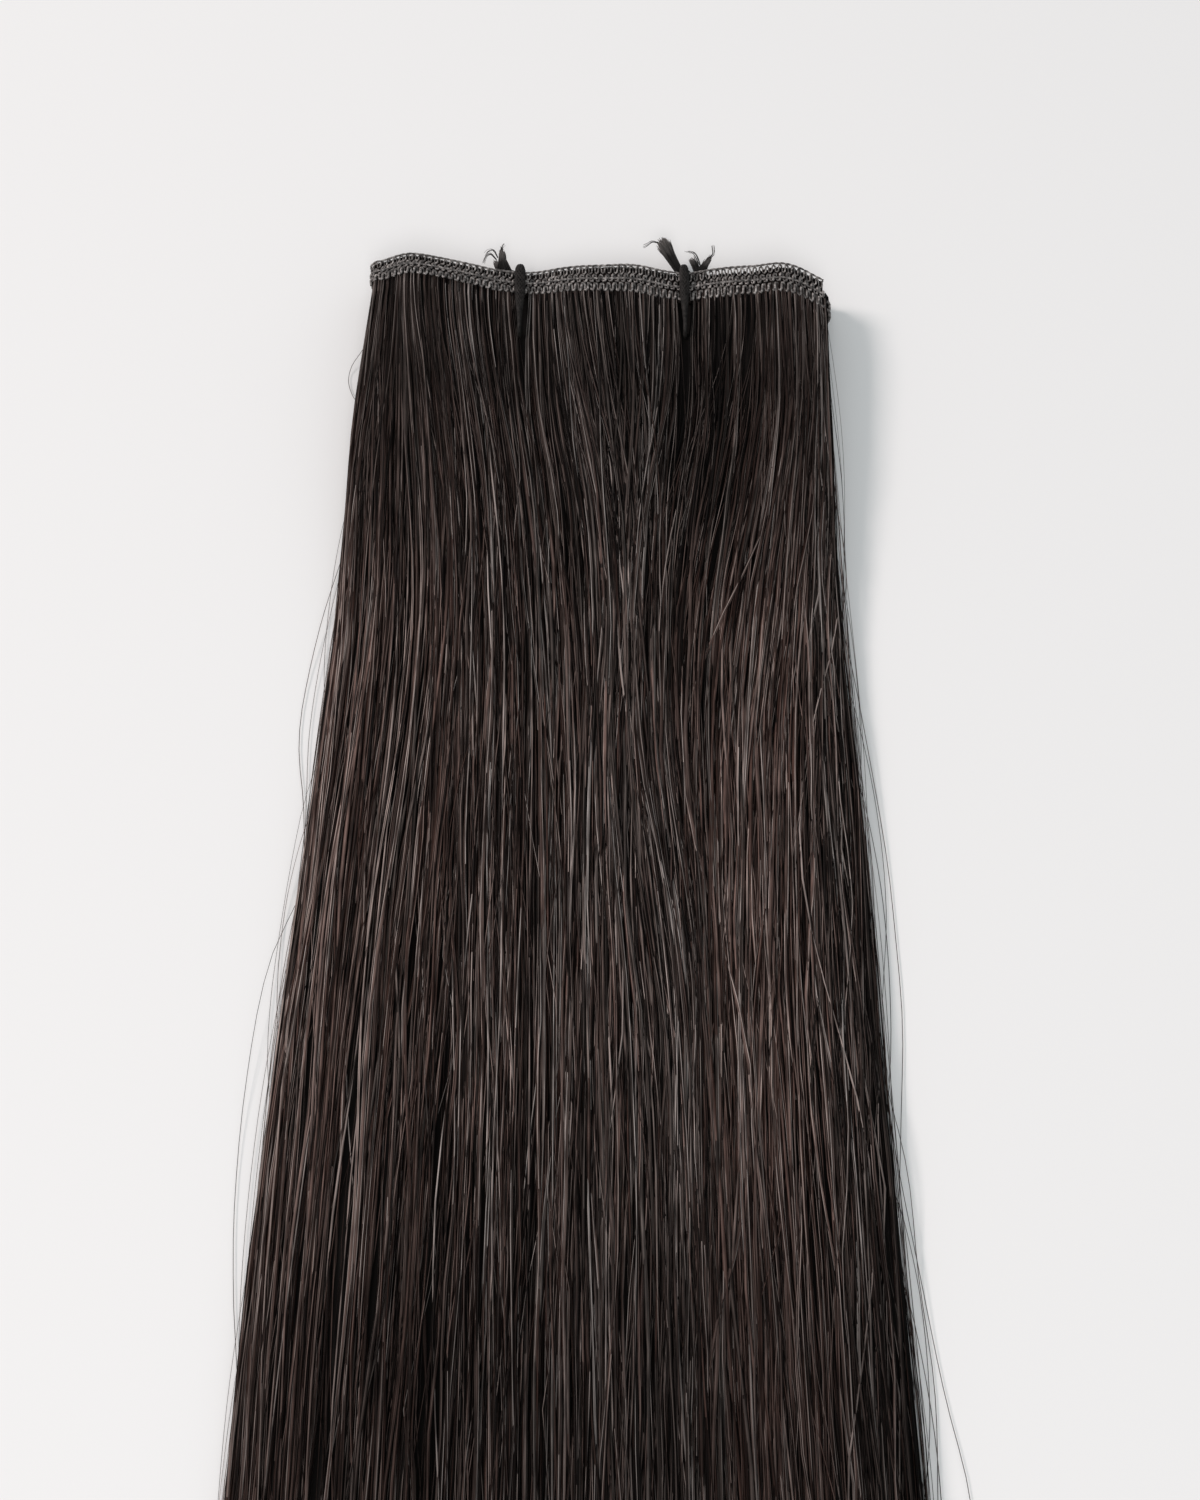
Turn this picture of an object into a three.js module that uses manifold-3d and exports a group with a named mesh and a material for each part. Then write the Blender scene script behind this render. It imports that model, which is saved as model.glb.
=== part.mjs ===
// Hair weft, folded in three and held by two elastic ties, as it lies on a table.
// Millimetres, +Z up, +X along the sewn track, hair falling towards -Y. Z = 0 is the table.
// One sewn track runs zigzag through the front, middle and back layers, and each layer
// carries a curtain of straight hair. The ties loop over the top of the stack and through
// a parting in the hair, and are knotted behind the track's top edge.
import * as THREE from 'three';
import { mergeVertices } from 'three/addons/utils/BufferGeometryUtils.js';
import Module from 'manifold-3d';

const wasm = await Module();
wasm.setup();

// Driving dimensions
const TRACK_HEIGHT = 6.5;
const SEAMS = 3;
const SEAM_HEIGHT = 1.5;
const SEAM_WALL = 1.5;
const BETWEEN_SEAMS_WALL = 1.0;
const TRACK_STEP = 5.7;
const FOLD_STEPS = 6;
const FOLD_LEFT_X = -45.5;
const FOLD_RIGHT_X = 46.3;
const FREE_END_FRONT_X = 46.0;
const FREE_END_BACK_X = -45.0;
const HAIR_LENGTH = 455;
const ROOT_WALL = 1.2;
const HEAD_DEPTH = 3.4;
const HEAD_WALL_SHARE = 0.8;
const HEAD_STEP = 7.8;
const LAYER_GAP = 0.4;
const FIT_GAP = 0.3;
const LIE_DOWN_LENGTH = 90;
const LOCK_OVERLAP = 0.9;
const LOCK_START = 0.8;
const TIP_TAPER_LENGTH = 45;
const TIP_WIDTH_SHARE = 0.55;
const TIP_FULLNESS_SHARE = 0.5;
const EDGE_THICKNESS_SHARE = 0.25;
const CORD_WIDTH = 2.6;
const CORD_THICKNESS = 1.5;
const TAIL_RADIUS = 1.1;
const KNOT_SIZE = { x: 2.0, y: 1.6, z: 1.8 };
const TIE_DEPTH = 15.6;
const CORD_SIDES = 8;
const LOOP_STEPS = 30;
const TIE_LEFT_X = -16.8;
const TIE_RIGHT_X = 17.3;

const LAYERS = ['back', 'middle', 'front'];

// The ties part each curtain into three runs, and this is how many locks make up a run.
const LOCKS_PER_RUN = { back: 4, middle: 3, front: 4 };

// Height of each layer's mid-plane over the table along the track, and how far the track's
// top edge rises there. The ties squeeze the stack, and it springs open towards the folds.
const STACK = [
  { x: -46.0, back: 2.4, middle: 6.6, front: 10.0, rise: 0.5 },
    { x: -39.0, back: 2.3, middle: 6.5, front: 10.6, rise: 2.0 },
  { x: -28.0, back: 2.4, middle: 5.7, front: 9.3, rise: 0.5 },
  { x: TIE_LEFT_X, back: 2.6, middle: 4.9, front: 7.2, rise: -0.3 },
  { x: -8.0, back: 2.5, middle: 5.1, front: 8.1, rise: 0.2 },
  { x: 0.0, back: 2.4, middle: 5.4, front: 8.8, rise: 0.5 },
  { x: 8.0, back: 2.5, middle: 5.2, front: 8.3, rise: 0.7 },
  { x: TIE_RIGHT_X, back: 2.6, middle: 4.9, front: 7.2, rise: -0.4 },
  { x: 24.0, back: 2.5, middle: 5.2, front: 8.3, rise: 0.0 },
  { x: 31.0, back: 2.4, middle: 5.6, front: 9.4, rise: -0.3 },
  { x: 38.0, back: 2.3, middle: 5.7, front: 10.2, rise: -0.1 },
  { x: 46.0, back: 2.3, middle: 4.4, front: 8.2, rise: -2.7 },
];

// Side edges of the hair and the thickness of one curtain, by distance below the track.
const FALL = [
  { down: 0, left: -47.2, right: 46.7, thickness: 2.6 },
  { down: 30, left: -49.8, right: 46.4, thickness: 2.6 },
  { down: 65, left: -50.8, right: 46.2, thickness: 2.5 },
  { down: 125, left: -55.4, right: 49.4, thickness: 2.3 },
  { down: 185, left: -59.2, right: 51.4, thickness: 2.2 },
  { down: 240, left: -61.6, right: 53.6, thickness: 2.1 },
  { down: 340, left: -61.5, right: 54.2, thickness: 1.8 },
  { down: 420, left: -57.5, right: 51.5, thickness: 1.2 },
  { down: 455, left: -55.0, right: 49.5, thickness: 0.9 },
];

// Half the width of the parting that the ties hold open in the hair. Below it the locks join.
const PARTING = [
  { down: 0.0, half: 0.3 },
  { down: 6.0, half: 1.8 },
  { down: 10.7, half: 2.1 },
  { down: 16.0, half: 0.6 },
  { down: 24.0, half: -LOCK_OVERLAP },
];

// How much shorter than the full length each lock's tip is, left to right.
const TIP_TRIM = [9, 3, 6, 0, 5, 1, 7, 2, 4, 8, 1, 11];

// How full each lock is, left to right, as a share of the curtain's thickness.
const LOCK_FULLNESS = [0.86, 1.0, 0.92, 0.98, 0.9, 1.0, 0.94, 0.88, 1.0, 0.92, 0.97, 0.84];

// Each tie's knot and its two cut ends: reach aside from the tie, reach above the track's
// top edge, height over the table, and how much the cut end spreads.
const TIES = [
  {
    name: 'tie_left',
    x: TIE_LEFT_X,
    knot: { side: -1.4, above: 2.3, height: 4.2 },
    tails: [
      { side: -5.2, above: 7.8, height: 5.2, spread: 1.35 },
      { side: -6.0, above: 6.0, height: 4.4, spread: 1.1 },
    ],
  },
  {
    name: 'tie_right',
    x: TIE_RIGHT_X,
    knot: { side: 0.3, above: 2.5, height: 4.2 },
    tails: [
      { side: -4.7, above: 9.8, height: 5.4, spread: 1.6 },
      { side: 6.0, above: 6.2, height: 4.6, spread: 1.1 },
    ],
  },
];

const HAIR_COLOUR = 0x2a211e;
const THREAD_COLOUR = 0x4a423e;
const CORD_COLOUR = 0x23201f;

const mix = THREE.MathUtils.lerp;

// Values between a table's rows. A smooth reading follows a curve through the rows.
function read(table, key, column, at, smooth) {
  const last = table.length - 1;
  const place = THREE.MathUtils.clamp(at, table[0][key], table[last][key]);
  let i = 0;
  while (i < last - 1 && place > table[i + 1][key]) i += 1;
  const [a, b] = [table[i], table[i + 1]];
  const span = b[key] - a[key];
  const t = (place - a[key]) / span;
  if (!smooth) return mix(a[column], b[column], t);
  const slope = (row) => {
    const before = table[Math.max(row - 1, 0)];
    const after = table[Math.min(row + 1, last)];
    return ((after[column] - before[column]) / (after[key] - before[key])) * span;
  };
  const [m0, m1] = [slope(i), slope(i + 1)];
  const t2 = t * t;
  const t3 = t2 * t;
  const ends = (2 * t3 - 3 * t2 + 1) * a[column] + (3 * t2 - 2 * t3) * b[column];
  return ends + (t3 - 2 * t2 + t) * m0 + (t3 - t2) * m1;
}

const layerHeight = (layer, x) => read(STACK, 'x', layer, x, true);
const edgeRise = (x) => read(STACK, 'x', 'rise', x, true);
const fallAt = (column, down) => read(FALL, 'down', column, down, true);

// A closed solid through rings of points. Each ring has the same number of points, and
// section holds one ring flat, for the two end faces.
function loft(rings, section) {
  if (THREE.ShapeUtils.isClockWise(section)) {
    return loft(rings.map((ring) => ring.toReversed()), section.toReversed());
  }
  const count = section.length;
  const points = rings.flat();
  const index = [];
  for (let i = 0; i + 1 < rings.length; i += 1) {
    for (let j = 0; j < count; j += 1) {
      const [a, b] = [i * count + j, i * count + ((j + 1) % count)];
      index.push(a, b, b + count, a, b + count, a + count);
    }
  }
  const far = (rings.length - 1) * count;
  for (const [a, b, c] of THREE.ShapeUtils.triangulateShape(section, [])) {
    index.push(a, c, b, far + a, far + b, far + c);
  }
  const geometry = new THREE.BufferGeometry().setFromPoints(points);
  geometry.setIndex(index);
  return facingOut(geometry);
}

// The same closed surface, turned round if its faces point in.
function facingOut(geometry) {
  const { index } = geometry;
  const [a, b, c] = [new THREE.Vector3(), new THREE.Vector3(), new THREE.Vector3()];
  let volume = 0;
  for (let i = 0; i < index.count; i += 3) {
    a.fromBufferAttribute(geometry.attributes.position, index.getX(i));
    b.fromBufferAttribute(geometry.attributes.position, index.getX(i + 1));
    c.fromBufferAttribute(geometry.attributes.position, index.getX(i + 2));
    volume += a.dot(b.cross(c));
  }
  if (volume < 0) index.array.reverse();
  return geometry;
}

function solidOf(geometry) {
  const bare = geometry.clone();
  bare.deleteAttribute('normal');
  bare.deleteAttribute('uv');
  const merged = mergeVertices(bare, 1e-4);
  return new wasm.Manifold(
    new wasm.Mesh({
      numProp: 3,
      vertProperties: merged.attributes.position.array,
      triVerts: new Uint32Array(merged.index.array),
    }),
  );
}

function fused(geometries) {
  const whole = geometries.map(solidOf).reduce((sum, next) => sum.add(next));
  const mesh = whole.getMesh();
  const geometry = new THREE.BufferGeometry();
  geometry.setAttribute('position', new THREE.BufferAttribute(mesh.vertProperties, 3));
  geometry.setIndex(new THREE.BufferAttribute(mesh.triVerts, 1));
  return geometry;
}

// Sewn track

// Its section: three sewn seams, raised over the two stretches between them.
function trackSection() {
  const pitch = TRACK_HEIGHT / SEAMS;
  const face = [{ out: BETWEEN_SEAMS_WALL / 2, down: 0 }];
  for (let i = 0; i < SEAMS; i += 1) {
    const middle = (i + 0.5) * pitch;
    face.push(
      { out: SEAM_WALL / 2, down: middle - SEAM_HEIGHT / 2 },
      { out: SEAM_WALL / 2, down: middle + SEAM_HEIGHT / 2 },
      { out: BETWEEN_SEAMS_WALL / 2, down: middle + pitch / 2 },
    );
  }
  const back = face.map(({ out, down }) => ({ out: -out, down })).reverse();
  return [...face, ...back].map(({ out, down }) => new THREE.Vector2(out, down));
}

// Its zigzag route: along the front layer, round the left fold, back along the middle
// layer, round the right fold, and along the back layer to its other end.
function trackRoute() {
  const route = [];
  const along = (layer, from, to) => {
    const steps = Math.round(Math.abs(to - from) / TRACK_STEP);
    for (let i = 0; i <= steps; i += 1) {
      const x = mix(from, to, i / steps);
      route.push(new THREE.Vector3(x, edgeRise(x), layerHeight(layer, x)));
    }
  };
  const fold = (x, upper, lower, outwards) => {
    const [high, low] = [layerHeight(upper, x), layerHeight(lower, x)];
    const radius = (high - low) / 2;
    for (let i = 1; i < FOLD_STEPS; i += 1) {
      const angle = (Math.PI * i) / FOLD_STEPS;
      const reach = outwards * radius * Math.sin(angle);
      route.push(new THREE.Vector3(x + reach, edgeRise(x), low + radius * (1 + Math.cos(angle))));
    }
  };
  along('front', FREE_END_FRONT_X, FOLD_LEFT_X);
  fold(FOLD_LEFT_X, 'front', 'middle', -1);
  along('middle', FOLD_LEFT_X, FOLD_RIGHT_X);
  fold(FOLD_RIGHT_X, 'middle', 'back', 1);
  along('back', FOLD_RIGHT_X, FREE_END_BACK_X);
  return route;
}

function trackGeometry() {
  const section = trackSection();
  const route = trackRoute();
  const rings = route.map((point, i) => {
    const before = route[Math.max(i - 1, 0)];
    const after = route[Math.min(i + 1, route.length - 1)];
    const [dx, dz] = [after.x - before.x, after.z - before.z];
    const size = Math.hypot(dx, dz);
    return section.map(({ x: out, y: down }) => new THREE.Vector3(
      point.x - (dz / size) * out,
      point.y - down,
      point.z + (dx / size) * out,
    ));
  });
  return loft(rings, section);
}

// Hair curtains

// The middle and half the thickness of a layer's curtain. It leaves the track as thin as
// the track, then lies down on the curtains under it, thinner towards its side edges.
function curtain(layer, x, down) {
  const [left, right] = [fallAt('left', down), fallAt('right', down)];
  const across = THREE.MathUtils.clamp((x - left) / (right - left), 0, 1);
  const crown = 1 - (2 * across - 1) ** 4;
  const thickness = fallAt('thickness', down) * mix(EDGE_THICKNESS_SHARE, 1, crown);
  const under = LAYERS.indexOf(layer) * (thickness + LAYER_GAP);
  const lying = THREE.MathUtils.smoothstep(down, 0, LIE_DOWN_LENGTH);
  return {
    middle: mix(layerHeight(layer, x), under + thickness / 2, lying),
    half: mix(ROOT_WALL, thickness, lying) / 2,
  };
}

const rootLine = TRACK_HEIGHT + FIT_GAP;

// A point of a curtain. out is 1 on its upper face and -1 on its lower face.
function curtainPoint(layer, x, down, out) {
  const { middle, half } = curtain(layer, x, down);
  const rise = edgeRise(x) * (1 - THREE.MathUtils.smoothstep(down, 0, LIE_DOWN_LENGTH));
  return new THREE.Vector3(x, rise - rootLine - down, middle + half * out);
}

// The strip of roots under the track, which joins a curtain's locks.
function headGeometry(layer) {
  const out = HEAD_WALL_SHARE;
  const section = [[0, out], [0, -out], [HEAD_DEPTH, -out], [HEAD_DEPTH, out]];
  const [left, right] = [FALL[0].left, FALL[0].right];
  const steps = Math.round((right - left) / HEAD_STEP);
  const rings = [];
  for (let i = 0; i <= steps; i += 1) {
    const x = mix(left, right, i / steps);
    rings.push(section.map(([down, side]) => curtainPoint(layer, x, down, side)));
  }
  return loft(rings, section.map(([down, side]) => new THREE.Vector2(down, side)));
}

// A lock's section, as shares of its half width and of the curtain's half thickness, and
// the distances below the track where a lock away from the ties bends.
const LOCK_SECTION = [[-1, 0], [-0.5, 1], [0.5, 1], [1, 0], [0.5, -1], [-0.5, -1]];
const ROOT_BEND = 20;
const LOCK_BENDS = [LIE_DOWN_LENGTH / 2, LIE_DOWN_LENGTH, 170, 290];

// Where one lock ends and the next begins, across the curtain from 0 to 1. The ties part
// the curtain into three runs of equal locks.
function lockEdges(layer) {
  const share = (x) => (x - FALL[0].left) / (FALL[0].right - FALL[0].left);
  const parts = [0, share(TIE_LEFT_X), share(TIE_RIGHT_X), 1];
  const edges = [{ across: 0, atTie: false }];
  const locks = LOCKS_PER_RUN[layer];
  for (let part = 0; part < TIES.length + 1; part += 1) {
    for (let i = 1; i <= locks; i += 1) {
      const across = mix(parts[part], parts[part + 1], i / locks);
      edges.push({ across, atTie: i === locks && part < TIES.length });
    }
  }
  return edges;
}

// One lock, from inside the head to its tapered tip.
function lockGeometry(layer, i, left, right) {
  const shift = LAYERS.indexOf(layer) * 5;
  const length = HAIR_LENGTH - TIP_TRIM[(i + shift) % TIP_TRIM.length];
  const fullness = LOCK_FULLNESS[(i + shift) % LOCK_FULLNESS.length];
  const parted = PARTING.slice(1).map(({ down }) => down);
  const nearRoot = left.atTie || right.atTie ? parted : [ROOT_BEND];
  const nearTip = [length - TIP_TAPER_LENGTH, length - TIP_TAPER_LENGTH / 3, length];
  const stations = [LOCK_START, ...nearRoot, ...LOCK_BENDS, ...nearTip];
  const sideOf = (edge, outwards, down) => {
    const [from, to] = [fallAt('left', down), fallAt('right', down)];
    const rim = edge.across === 0 || edge.across === 1;
    const joined = rim ? 0 : -LOCK_OVERLAP;
    const apart = edge.atTie ? read(PARTING, 'down', 'half', down, false) : joined;
    return mix(from, to, edge.across) - outwards * apart;
  };
  const rings = stations.map((down) => {
    const toTip = THREE.MathUtils.clamp((length - down) / TIP_TAPER_LENGTH, 0, 1);
    const [from, to] = [sideOf(left, -1, down), sideOf(right, 1, down)];
    const halfWidth = ((to - from) / 2) * mix(TIP_WIDTH_SHARE, 1, Math.sqrt(toTip));
    return LOCK_SECTION.map(([aside, out]) => {
      const x = (from + to) / 2 + aside * halfWidth;
      const filled = out > 0 ? out * fullness * mix(TIP_FULLNESS_SHARE, 1, toTip) : out;
      return curtainPoint(layer, x, down, filled);
    });
  });
  return loft(rings, LOCK_SECTION.map(([aside, out]) => new THREE.Vector2(aside, out)));
}

function hairGeometry(layer) {
  const edges = lockEdges(layer);
  const locks = edges.slice(1).map((right, i) => lockGeometry(layer, i, edges[i], right));
  return fused([headGeometry(layer), ...locks]);
}

// Elastic ties

// The loop, seen from the side: over the track's top edge, down the front, through the
// parting in the hair, and back along the table.
function loopRoute(x) {
  const half = CORD_THICKNESS / 2;
  const corner = half + FIT_GAP;
  const [near, far] = [-edgeRise(x), TIE_DEPTH - corner];
  const [low, high] = [half + corner, layerHeight('front', x) + SEAM_WALL / 2];
  const outline = new THREE.Path();
  outline.absarc(near, high, corner, Math.PI, Math.PI / 2, true);
  outline.absarc(far, high, corner, Math.PI / 2, 0, true);
  outline.absarc(far, low, corner, 0, -Math.PI / 2, true);
  outline.absarc(near, low, corner, -Math.PI / 2, -Math.PI, true);
  outline.closePath();
  const outlinePoints = outline.getSpacedPoints(LOOP_STEPS).slice(0, -1);
  const points = outlinePoints.map(({ x: down, y: z }) => new THREE.Vector3(0, -down, z));
  return new THREE.CatmullRomCurve3(points, true);
}

// A cut end: a short piece of cord that spreads where it was cut.
function tailGeometry(from, to, spread) {
  const circle = new THREE.Path().absarc(0, 0, 1, 0, 2 * Math.PI);
  const section = circle.getPoints(CORD_SIDES).slice(0, CORD_SIDES);
  const along = to.clone().sub(from).normalize();
  const aside = new THREE.Vector3(0, 0, 1).cross(along).normalize();
  const upwards = along.clone().cross(aside);
  const stations = [
    { share: 0, size: 1 },
    { share: 0.5, size: 0.95 },
    { share: 0.9, size: spread },
    { share: 1, size: spread * 0.7 },
  ];
  const rings = stations.map(({ share, size }) => section.map((point) => from.clone()
    .lerp(to, share)
    .addScaledVector(aside, point.x * size * TAIL_RADIUS)
    .addScaledVector(upwards, point.y * size * TAIL_RADIUS)));
  return loft(rings, section);
}

function tieGeometry({ x, knot, tails }) {
  const loop = new THREE.TubeGeometry(loopRoute(x), LOOP_STEPS, CORD_THICKNESS / 2, CORD_SIDES, true);
  loop.scale(CORD_WIDTH / CORD_THICKNESS, 1, 1);
  loop.translate(x, 0, 0);
  const place = ({ side, above, height }) => new THREE.Vector3(x + side, above, height);
  const centre = place(knot);
  const lump = new THREE.SphereGeometry(1, 9, 6);
  lump.scale(KNOT_SIZE.x, KNOT_SIZE.y, KNOT_SIZE.z);
  lump.translate(centre.x, centre.y, centre.z);
  const ends = tails.map((tail) => tailGeometry(centre, place(tail), tail.spread));
  return fused([loop, lump, ...ends]);
}

// Assembly

function piece(name, geometry, colour, roughness) {
  const material = new THREE.MeshStandardMaterial({ color: colour, roughness, metalness: 0 });
  const mesh = new THREE.Mesh(geometry, material);
  mesh.name = name;
  return mesh;
}

const weft = new THREE.Group();
weft.add(piece('weft_track', trackGeometry(), THREAD_COLOUR, 0.7));
for (const layer of LAYERS) weft.add(piece(`hair_${layer}`, hairGeometry(layer), HAIR_COLOUR, 0.45));
for (const tie of TIES) weft.add(piece(tie.name, tieGeometry(tie), CORD_COLOUR, 0.8));

// The origin is on the table, under the middle of the whole weft.
const footprint = new THREE.Box3().setFromObject(weft);
const centre = footprint.getCenter(new THREE.Vector3());
weft.position.set(-centre.x, -centre.y, -footprint.min.z);

export default weft;
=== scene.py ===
# Hair weft, folded in three and held by two elastic ties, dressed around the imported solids.
# Shapes are worked out in millimetres in the weft's own frame: +X along the sewn track, Y = 0 at the
# track's top edge, hair falling towards -Y, Z = 0 on the table.
import math

import bpy
import numpy as np
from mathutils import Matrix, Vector


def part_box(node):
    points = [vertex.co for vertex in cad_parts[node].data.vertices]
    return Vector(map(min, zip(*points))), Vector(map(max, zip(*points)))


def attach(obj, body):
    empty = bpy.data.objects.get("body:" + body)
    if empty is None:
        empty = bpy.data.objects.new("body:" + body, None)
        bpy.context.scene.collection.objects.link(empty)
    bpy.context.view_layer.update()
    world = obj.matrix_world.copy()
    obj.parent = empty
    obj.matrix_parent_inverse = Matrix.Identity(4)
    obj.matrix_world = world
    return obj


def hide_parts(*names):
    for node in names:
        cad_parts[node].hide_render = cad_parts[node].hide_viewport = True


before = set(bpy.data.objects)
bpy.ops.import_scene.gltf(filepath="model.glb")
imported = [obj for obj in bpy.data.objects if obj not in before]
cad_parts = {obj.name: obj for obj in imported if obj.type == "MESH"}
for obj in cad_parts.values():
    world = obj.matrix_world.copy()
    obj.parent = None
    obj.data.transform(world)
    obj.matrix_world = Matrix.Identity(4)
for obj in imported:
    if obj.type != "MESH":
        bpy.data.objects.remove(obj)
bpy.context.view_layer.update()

# Packed hair inside each layer
# Each layer of the folded weft carries a curtain of straight dark brown hair. Deep inside a curtain the
# strands lie packed side by side, so its core is one dark, finely ridged mass, sewn in at the top. Its
# near-black is painted shade over the hair's own dark brown.
HAIR_LENGTH = 455
ROOT_LINE = 6.8
ROOT_WALL = 1.2
LIE_DOWN_LENGTH = 90
LAYER_GAP = 0.4
EDGE_THICKNESS_SHARE = 0.25
LAYERS = {"back": 0, "middle": 1, "front": 2}
TIES_X = {"left": -16.8, "right": 17.3}

# Along the track: X, mid-plane height of the back, middle and front layers, rise of the top edge.
STACK = np.array([
    (-46.0, 2.4, 6.6, 10.0, 0.5),
    (-39.0, 2.3, 6.5, 10.6, 2.0),
    (-28.0, 2.4, 5.7, 9.3, 0.5),
    (-16.8, 2.6, 4.9, 7.2, -0.3),
    (-8.0, 2.5, 5.1, 8.1, 0.2),
    (0.0, 2.4, 5.4, 8.8, 0.5),
    (8.0, 2.5, 5.2, 8.3, 0.7),
    (17.3, 2.6, 4.9, 7.2, -0.4),
    (24.0, 2.5, 5.2, 8.3, 0.0),
    (31.0, 2.4, 5.6, 9.4, -0.3),
    (38.0, 2.3, 5.7, 10.2, -0.1),
    (46.0, 2.3, 4.4, 8.2, -2.7),
])
STACK_RISE = 4

# Below the track: distance, left edge, right edge, thickness of one curtain.
FALL = np.array([
    (0, -47.2, 46.7, 2.6),
    (30, -49.8, 46.4, 2.6),
    (65, -50.8, 46.2, 2.5),
    (125, -55.4, 49.4, 2.3),
    (185, -59.2, 51.4, 2.2),
    (240, -61.6, 53.6, 2.1),
    (340, -61.5, 54.2, 1.8),
    (420, -57.5, 51.5, 1.2),
    (455, -55.0, 49.5, 0.9),
])
FALL_LEFT, FALL_RIGHT, FALL_THICKNESS = 1, 2, 3


# A curve through values at the given keys. With a column of values for each strand, each row of
# places is read on its own strand's curve.
def curve(keys, values, places):
    rows = np.arange(len(keys))
    after, before = np.minimum(rows + 1, len(keys) - 1), np.maximum(rows - 1, 0)
    gap = (keys[after] - keys[before]).reshape((-1,) + (1,) * (values.ndim - 1))
    slope = (values[after] - values[before]) / gap
    place = np.clip(places, keys[0], keys[-1])
    row = np.clip(np.searchsorted(keys, place, side="right") - 1, 0, len(keys) - 2)
    strand = (np.arange(values.shape[1])[:, None],) if values.ndim > 1 else ()
    low, high = (row, *strand), (row + 1, *strand)
    span = keys[row + 1] - keys[row]
    t = (place - keys[row]) / span
    ends = (2 * t**3 - 3 * t**2 + 1) * values[low] + (3 * t**2 - 2 * t**3) * values[high]
    return ends + span * ((t**3 - 2 * t**2 + t) * slope[low] + (t**3 - t**2) * slope[high])


def read(table, column, places):
    return curve(table[:, 0], table[:, column], places)


def smooth_step(value, low, high):
    share = np.clip((value - low) / (high - low), 0, 1)
    return share * share * (3 - 2 * share)


def mix(a, b, share):
    return a + (b - a) * share


# Points of a layer's curtain: out is 1 on its upper face and -1 on its lower face.
def curtain_points(layer, x, down, out):
    left, right = read(FALL, FALL_LEFT, down), read(FALL, FALL_RIGHT, down)
    across = np.clip((x - left) / (right - left), 0, 1)
    crown = 1 - (2 * across - 1) ** 4
    thickness = read(FALL, FALL_THICKNESS, down) * mix(EDGE_THICKNESS_SHARE, 1, crown)
    lying = smooth_step(down, 0, LIE_DOWN_LENGTH)
    rest_height = LAYERS[layer] * (thickness + LAYER_GAP) + thickness / 2
    middle = mix(read(STACK, LAYERS[layer] + 1, x), rest_height, lying)
    half = mix(ROOT_WALL, thickness, lying) / 2
    rise = read(STACK, STACK_RISE, x) * (1 - lying)
    return np.stack(np.broadcast_arrays(x, rise - ROOT_LINE - down, middle + half * out), axis=-1)


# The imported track's own corner places the weft's millimetres in the frame's metres.
TRACK_LEFT_X = -47.976
TRACK_TOP_Y = 1.995
MM_PER_METRE = 1000
track_low, track_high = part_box("weft_track")
weft_offset = np.array([
    track_low[0] * MM_PER_METRE - TRACK_LEFT_X, track_high[1] * MM_PER_METRE - TRACK_TOP_Y, 0])


# A mesh object from points in the weft's millimetres. Faces come in blocks of equal corner count,
# marks are named values at each point, and bake holds a flat place for each point.
def mesh_piece(name, points, face_blocks, marks=None, bake=None):
    mesh = bpy.data.meshes.new(name)
    mesh.vertices.add(len(points))
    mesh.vertices.foreach_set("co", ((points + weft_offset) / MM_PER_METRE).astype(np.float32).ravel())
    corners = np.concatenate([block.ravel() for block in face_blocks]).astype(np.int32)
    sizes = np.concatenate([np.full(len(block), block.shape[1]) for block in face_blocks])
    starts = np.concatenate([[0], np.cumsum(sizes)[:-1]]).astype(np.int32)
    mesh.loops.add(len(corners))
    mesh.loops.foreach_set("vertex_index", corners)
    mesh.polygons.add(len(starts))
    mesh.polygons.foreach_set("loop_start", starts)
    for mark, values in (marks or {}).items():
        mesh.attributes.new(mark, "FLOAT", "POINT").data.foreach_set("value", values.astype(np.float32))
    if bake is not None:
        layout = mesh.uv_layers.new(name="OFBake")
        layout.data.foreach_set("uv", bake[corners].astype(np.float32).ravel())
    mesh.update(calc_edges=True)
    mesh.shade_smooth()
    piece = bpy.data.objects.new(name, mesh)
    bpy.context.scene.collection.objects.link(piece)
    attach(piece, "root")
    return piece


def new_material(name):
    material = bpy.data.materials.new(name)
    material.use_nodes = True
    return material, material.node_tree, material.node_tree.nodes["Principled BSDF"]


def mark_node(tree, mark):
    node = tree.nodes.new("ShaderNodeAttribute")
    node.attribute_name = mark
    return node.outputs["Fac"]


def ramp_node(tree, value, stops):
    node = tree.nodes.new("ShaderNodeValToRGB")
    while len(node.color_ramp.elements) < len(stops):
        node.color_ramp.elements.new(1.0)
    for element, (place, colour) in zip(node.color_ramp.elements, stops):
        element.position = place
        element.color = (*colour, 1.0)
    tree.links.new(value, node.inputs["Fac"])
    return node.outputs["Color"]


# A value read between two limits, and given between two others.
def range_node(tree, value, reads, gives):
    node = tree.nodes.new("ShaderNodeMapRange")
    node.inputs["From Min"].default_value, node.inputs["From Max"].default_value = reads
    node.inputs["To Min"].default_value, node.inputs["To Max"].default_value = gives
    tree.links.new(value, node.inputs["Value"])
    return node.outputs["Result"]


# The core's grid has columns across and rows at distances below the track. Its heights are shares of half
# the curtain's thickness.
CORE_COLUMNS = 121
CORE_ROWS = np.array([-4, 0, 3, 6, 10, 15, 21, 28, 36, 46, 58, 72, 90, 110, 135, 160, 185, 210, 240, 280,
                      320, 350, 380, 412, 440])
CORE_INSET = 0.5
CORE_TOP, CORE_UNDER = -0.05, -0.9
CORE_RIDGE = 0.3
RIDGE_SPREAD = 0.3
COLUMN_WANDER = 1.4
RIDGE_SEED, RAGGED_SEED = 11, 15

# Its lower end is ragged: where that starts, and how much shorter the shortest column may be.
CORE_RAGGED_FROM, CORE_RAGGED = 345, 70

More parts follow.
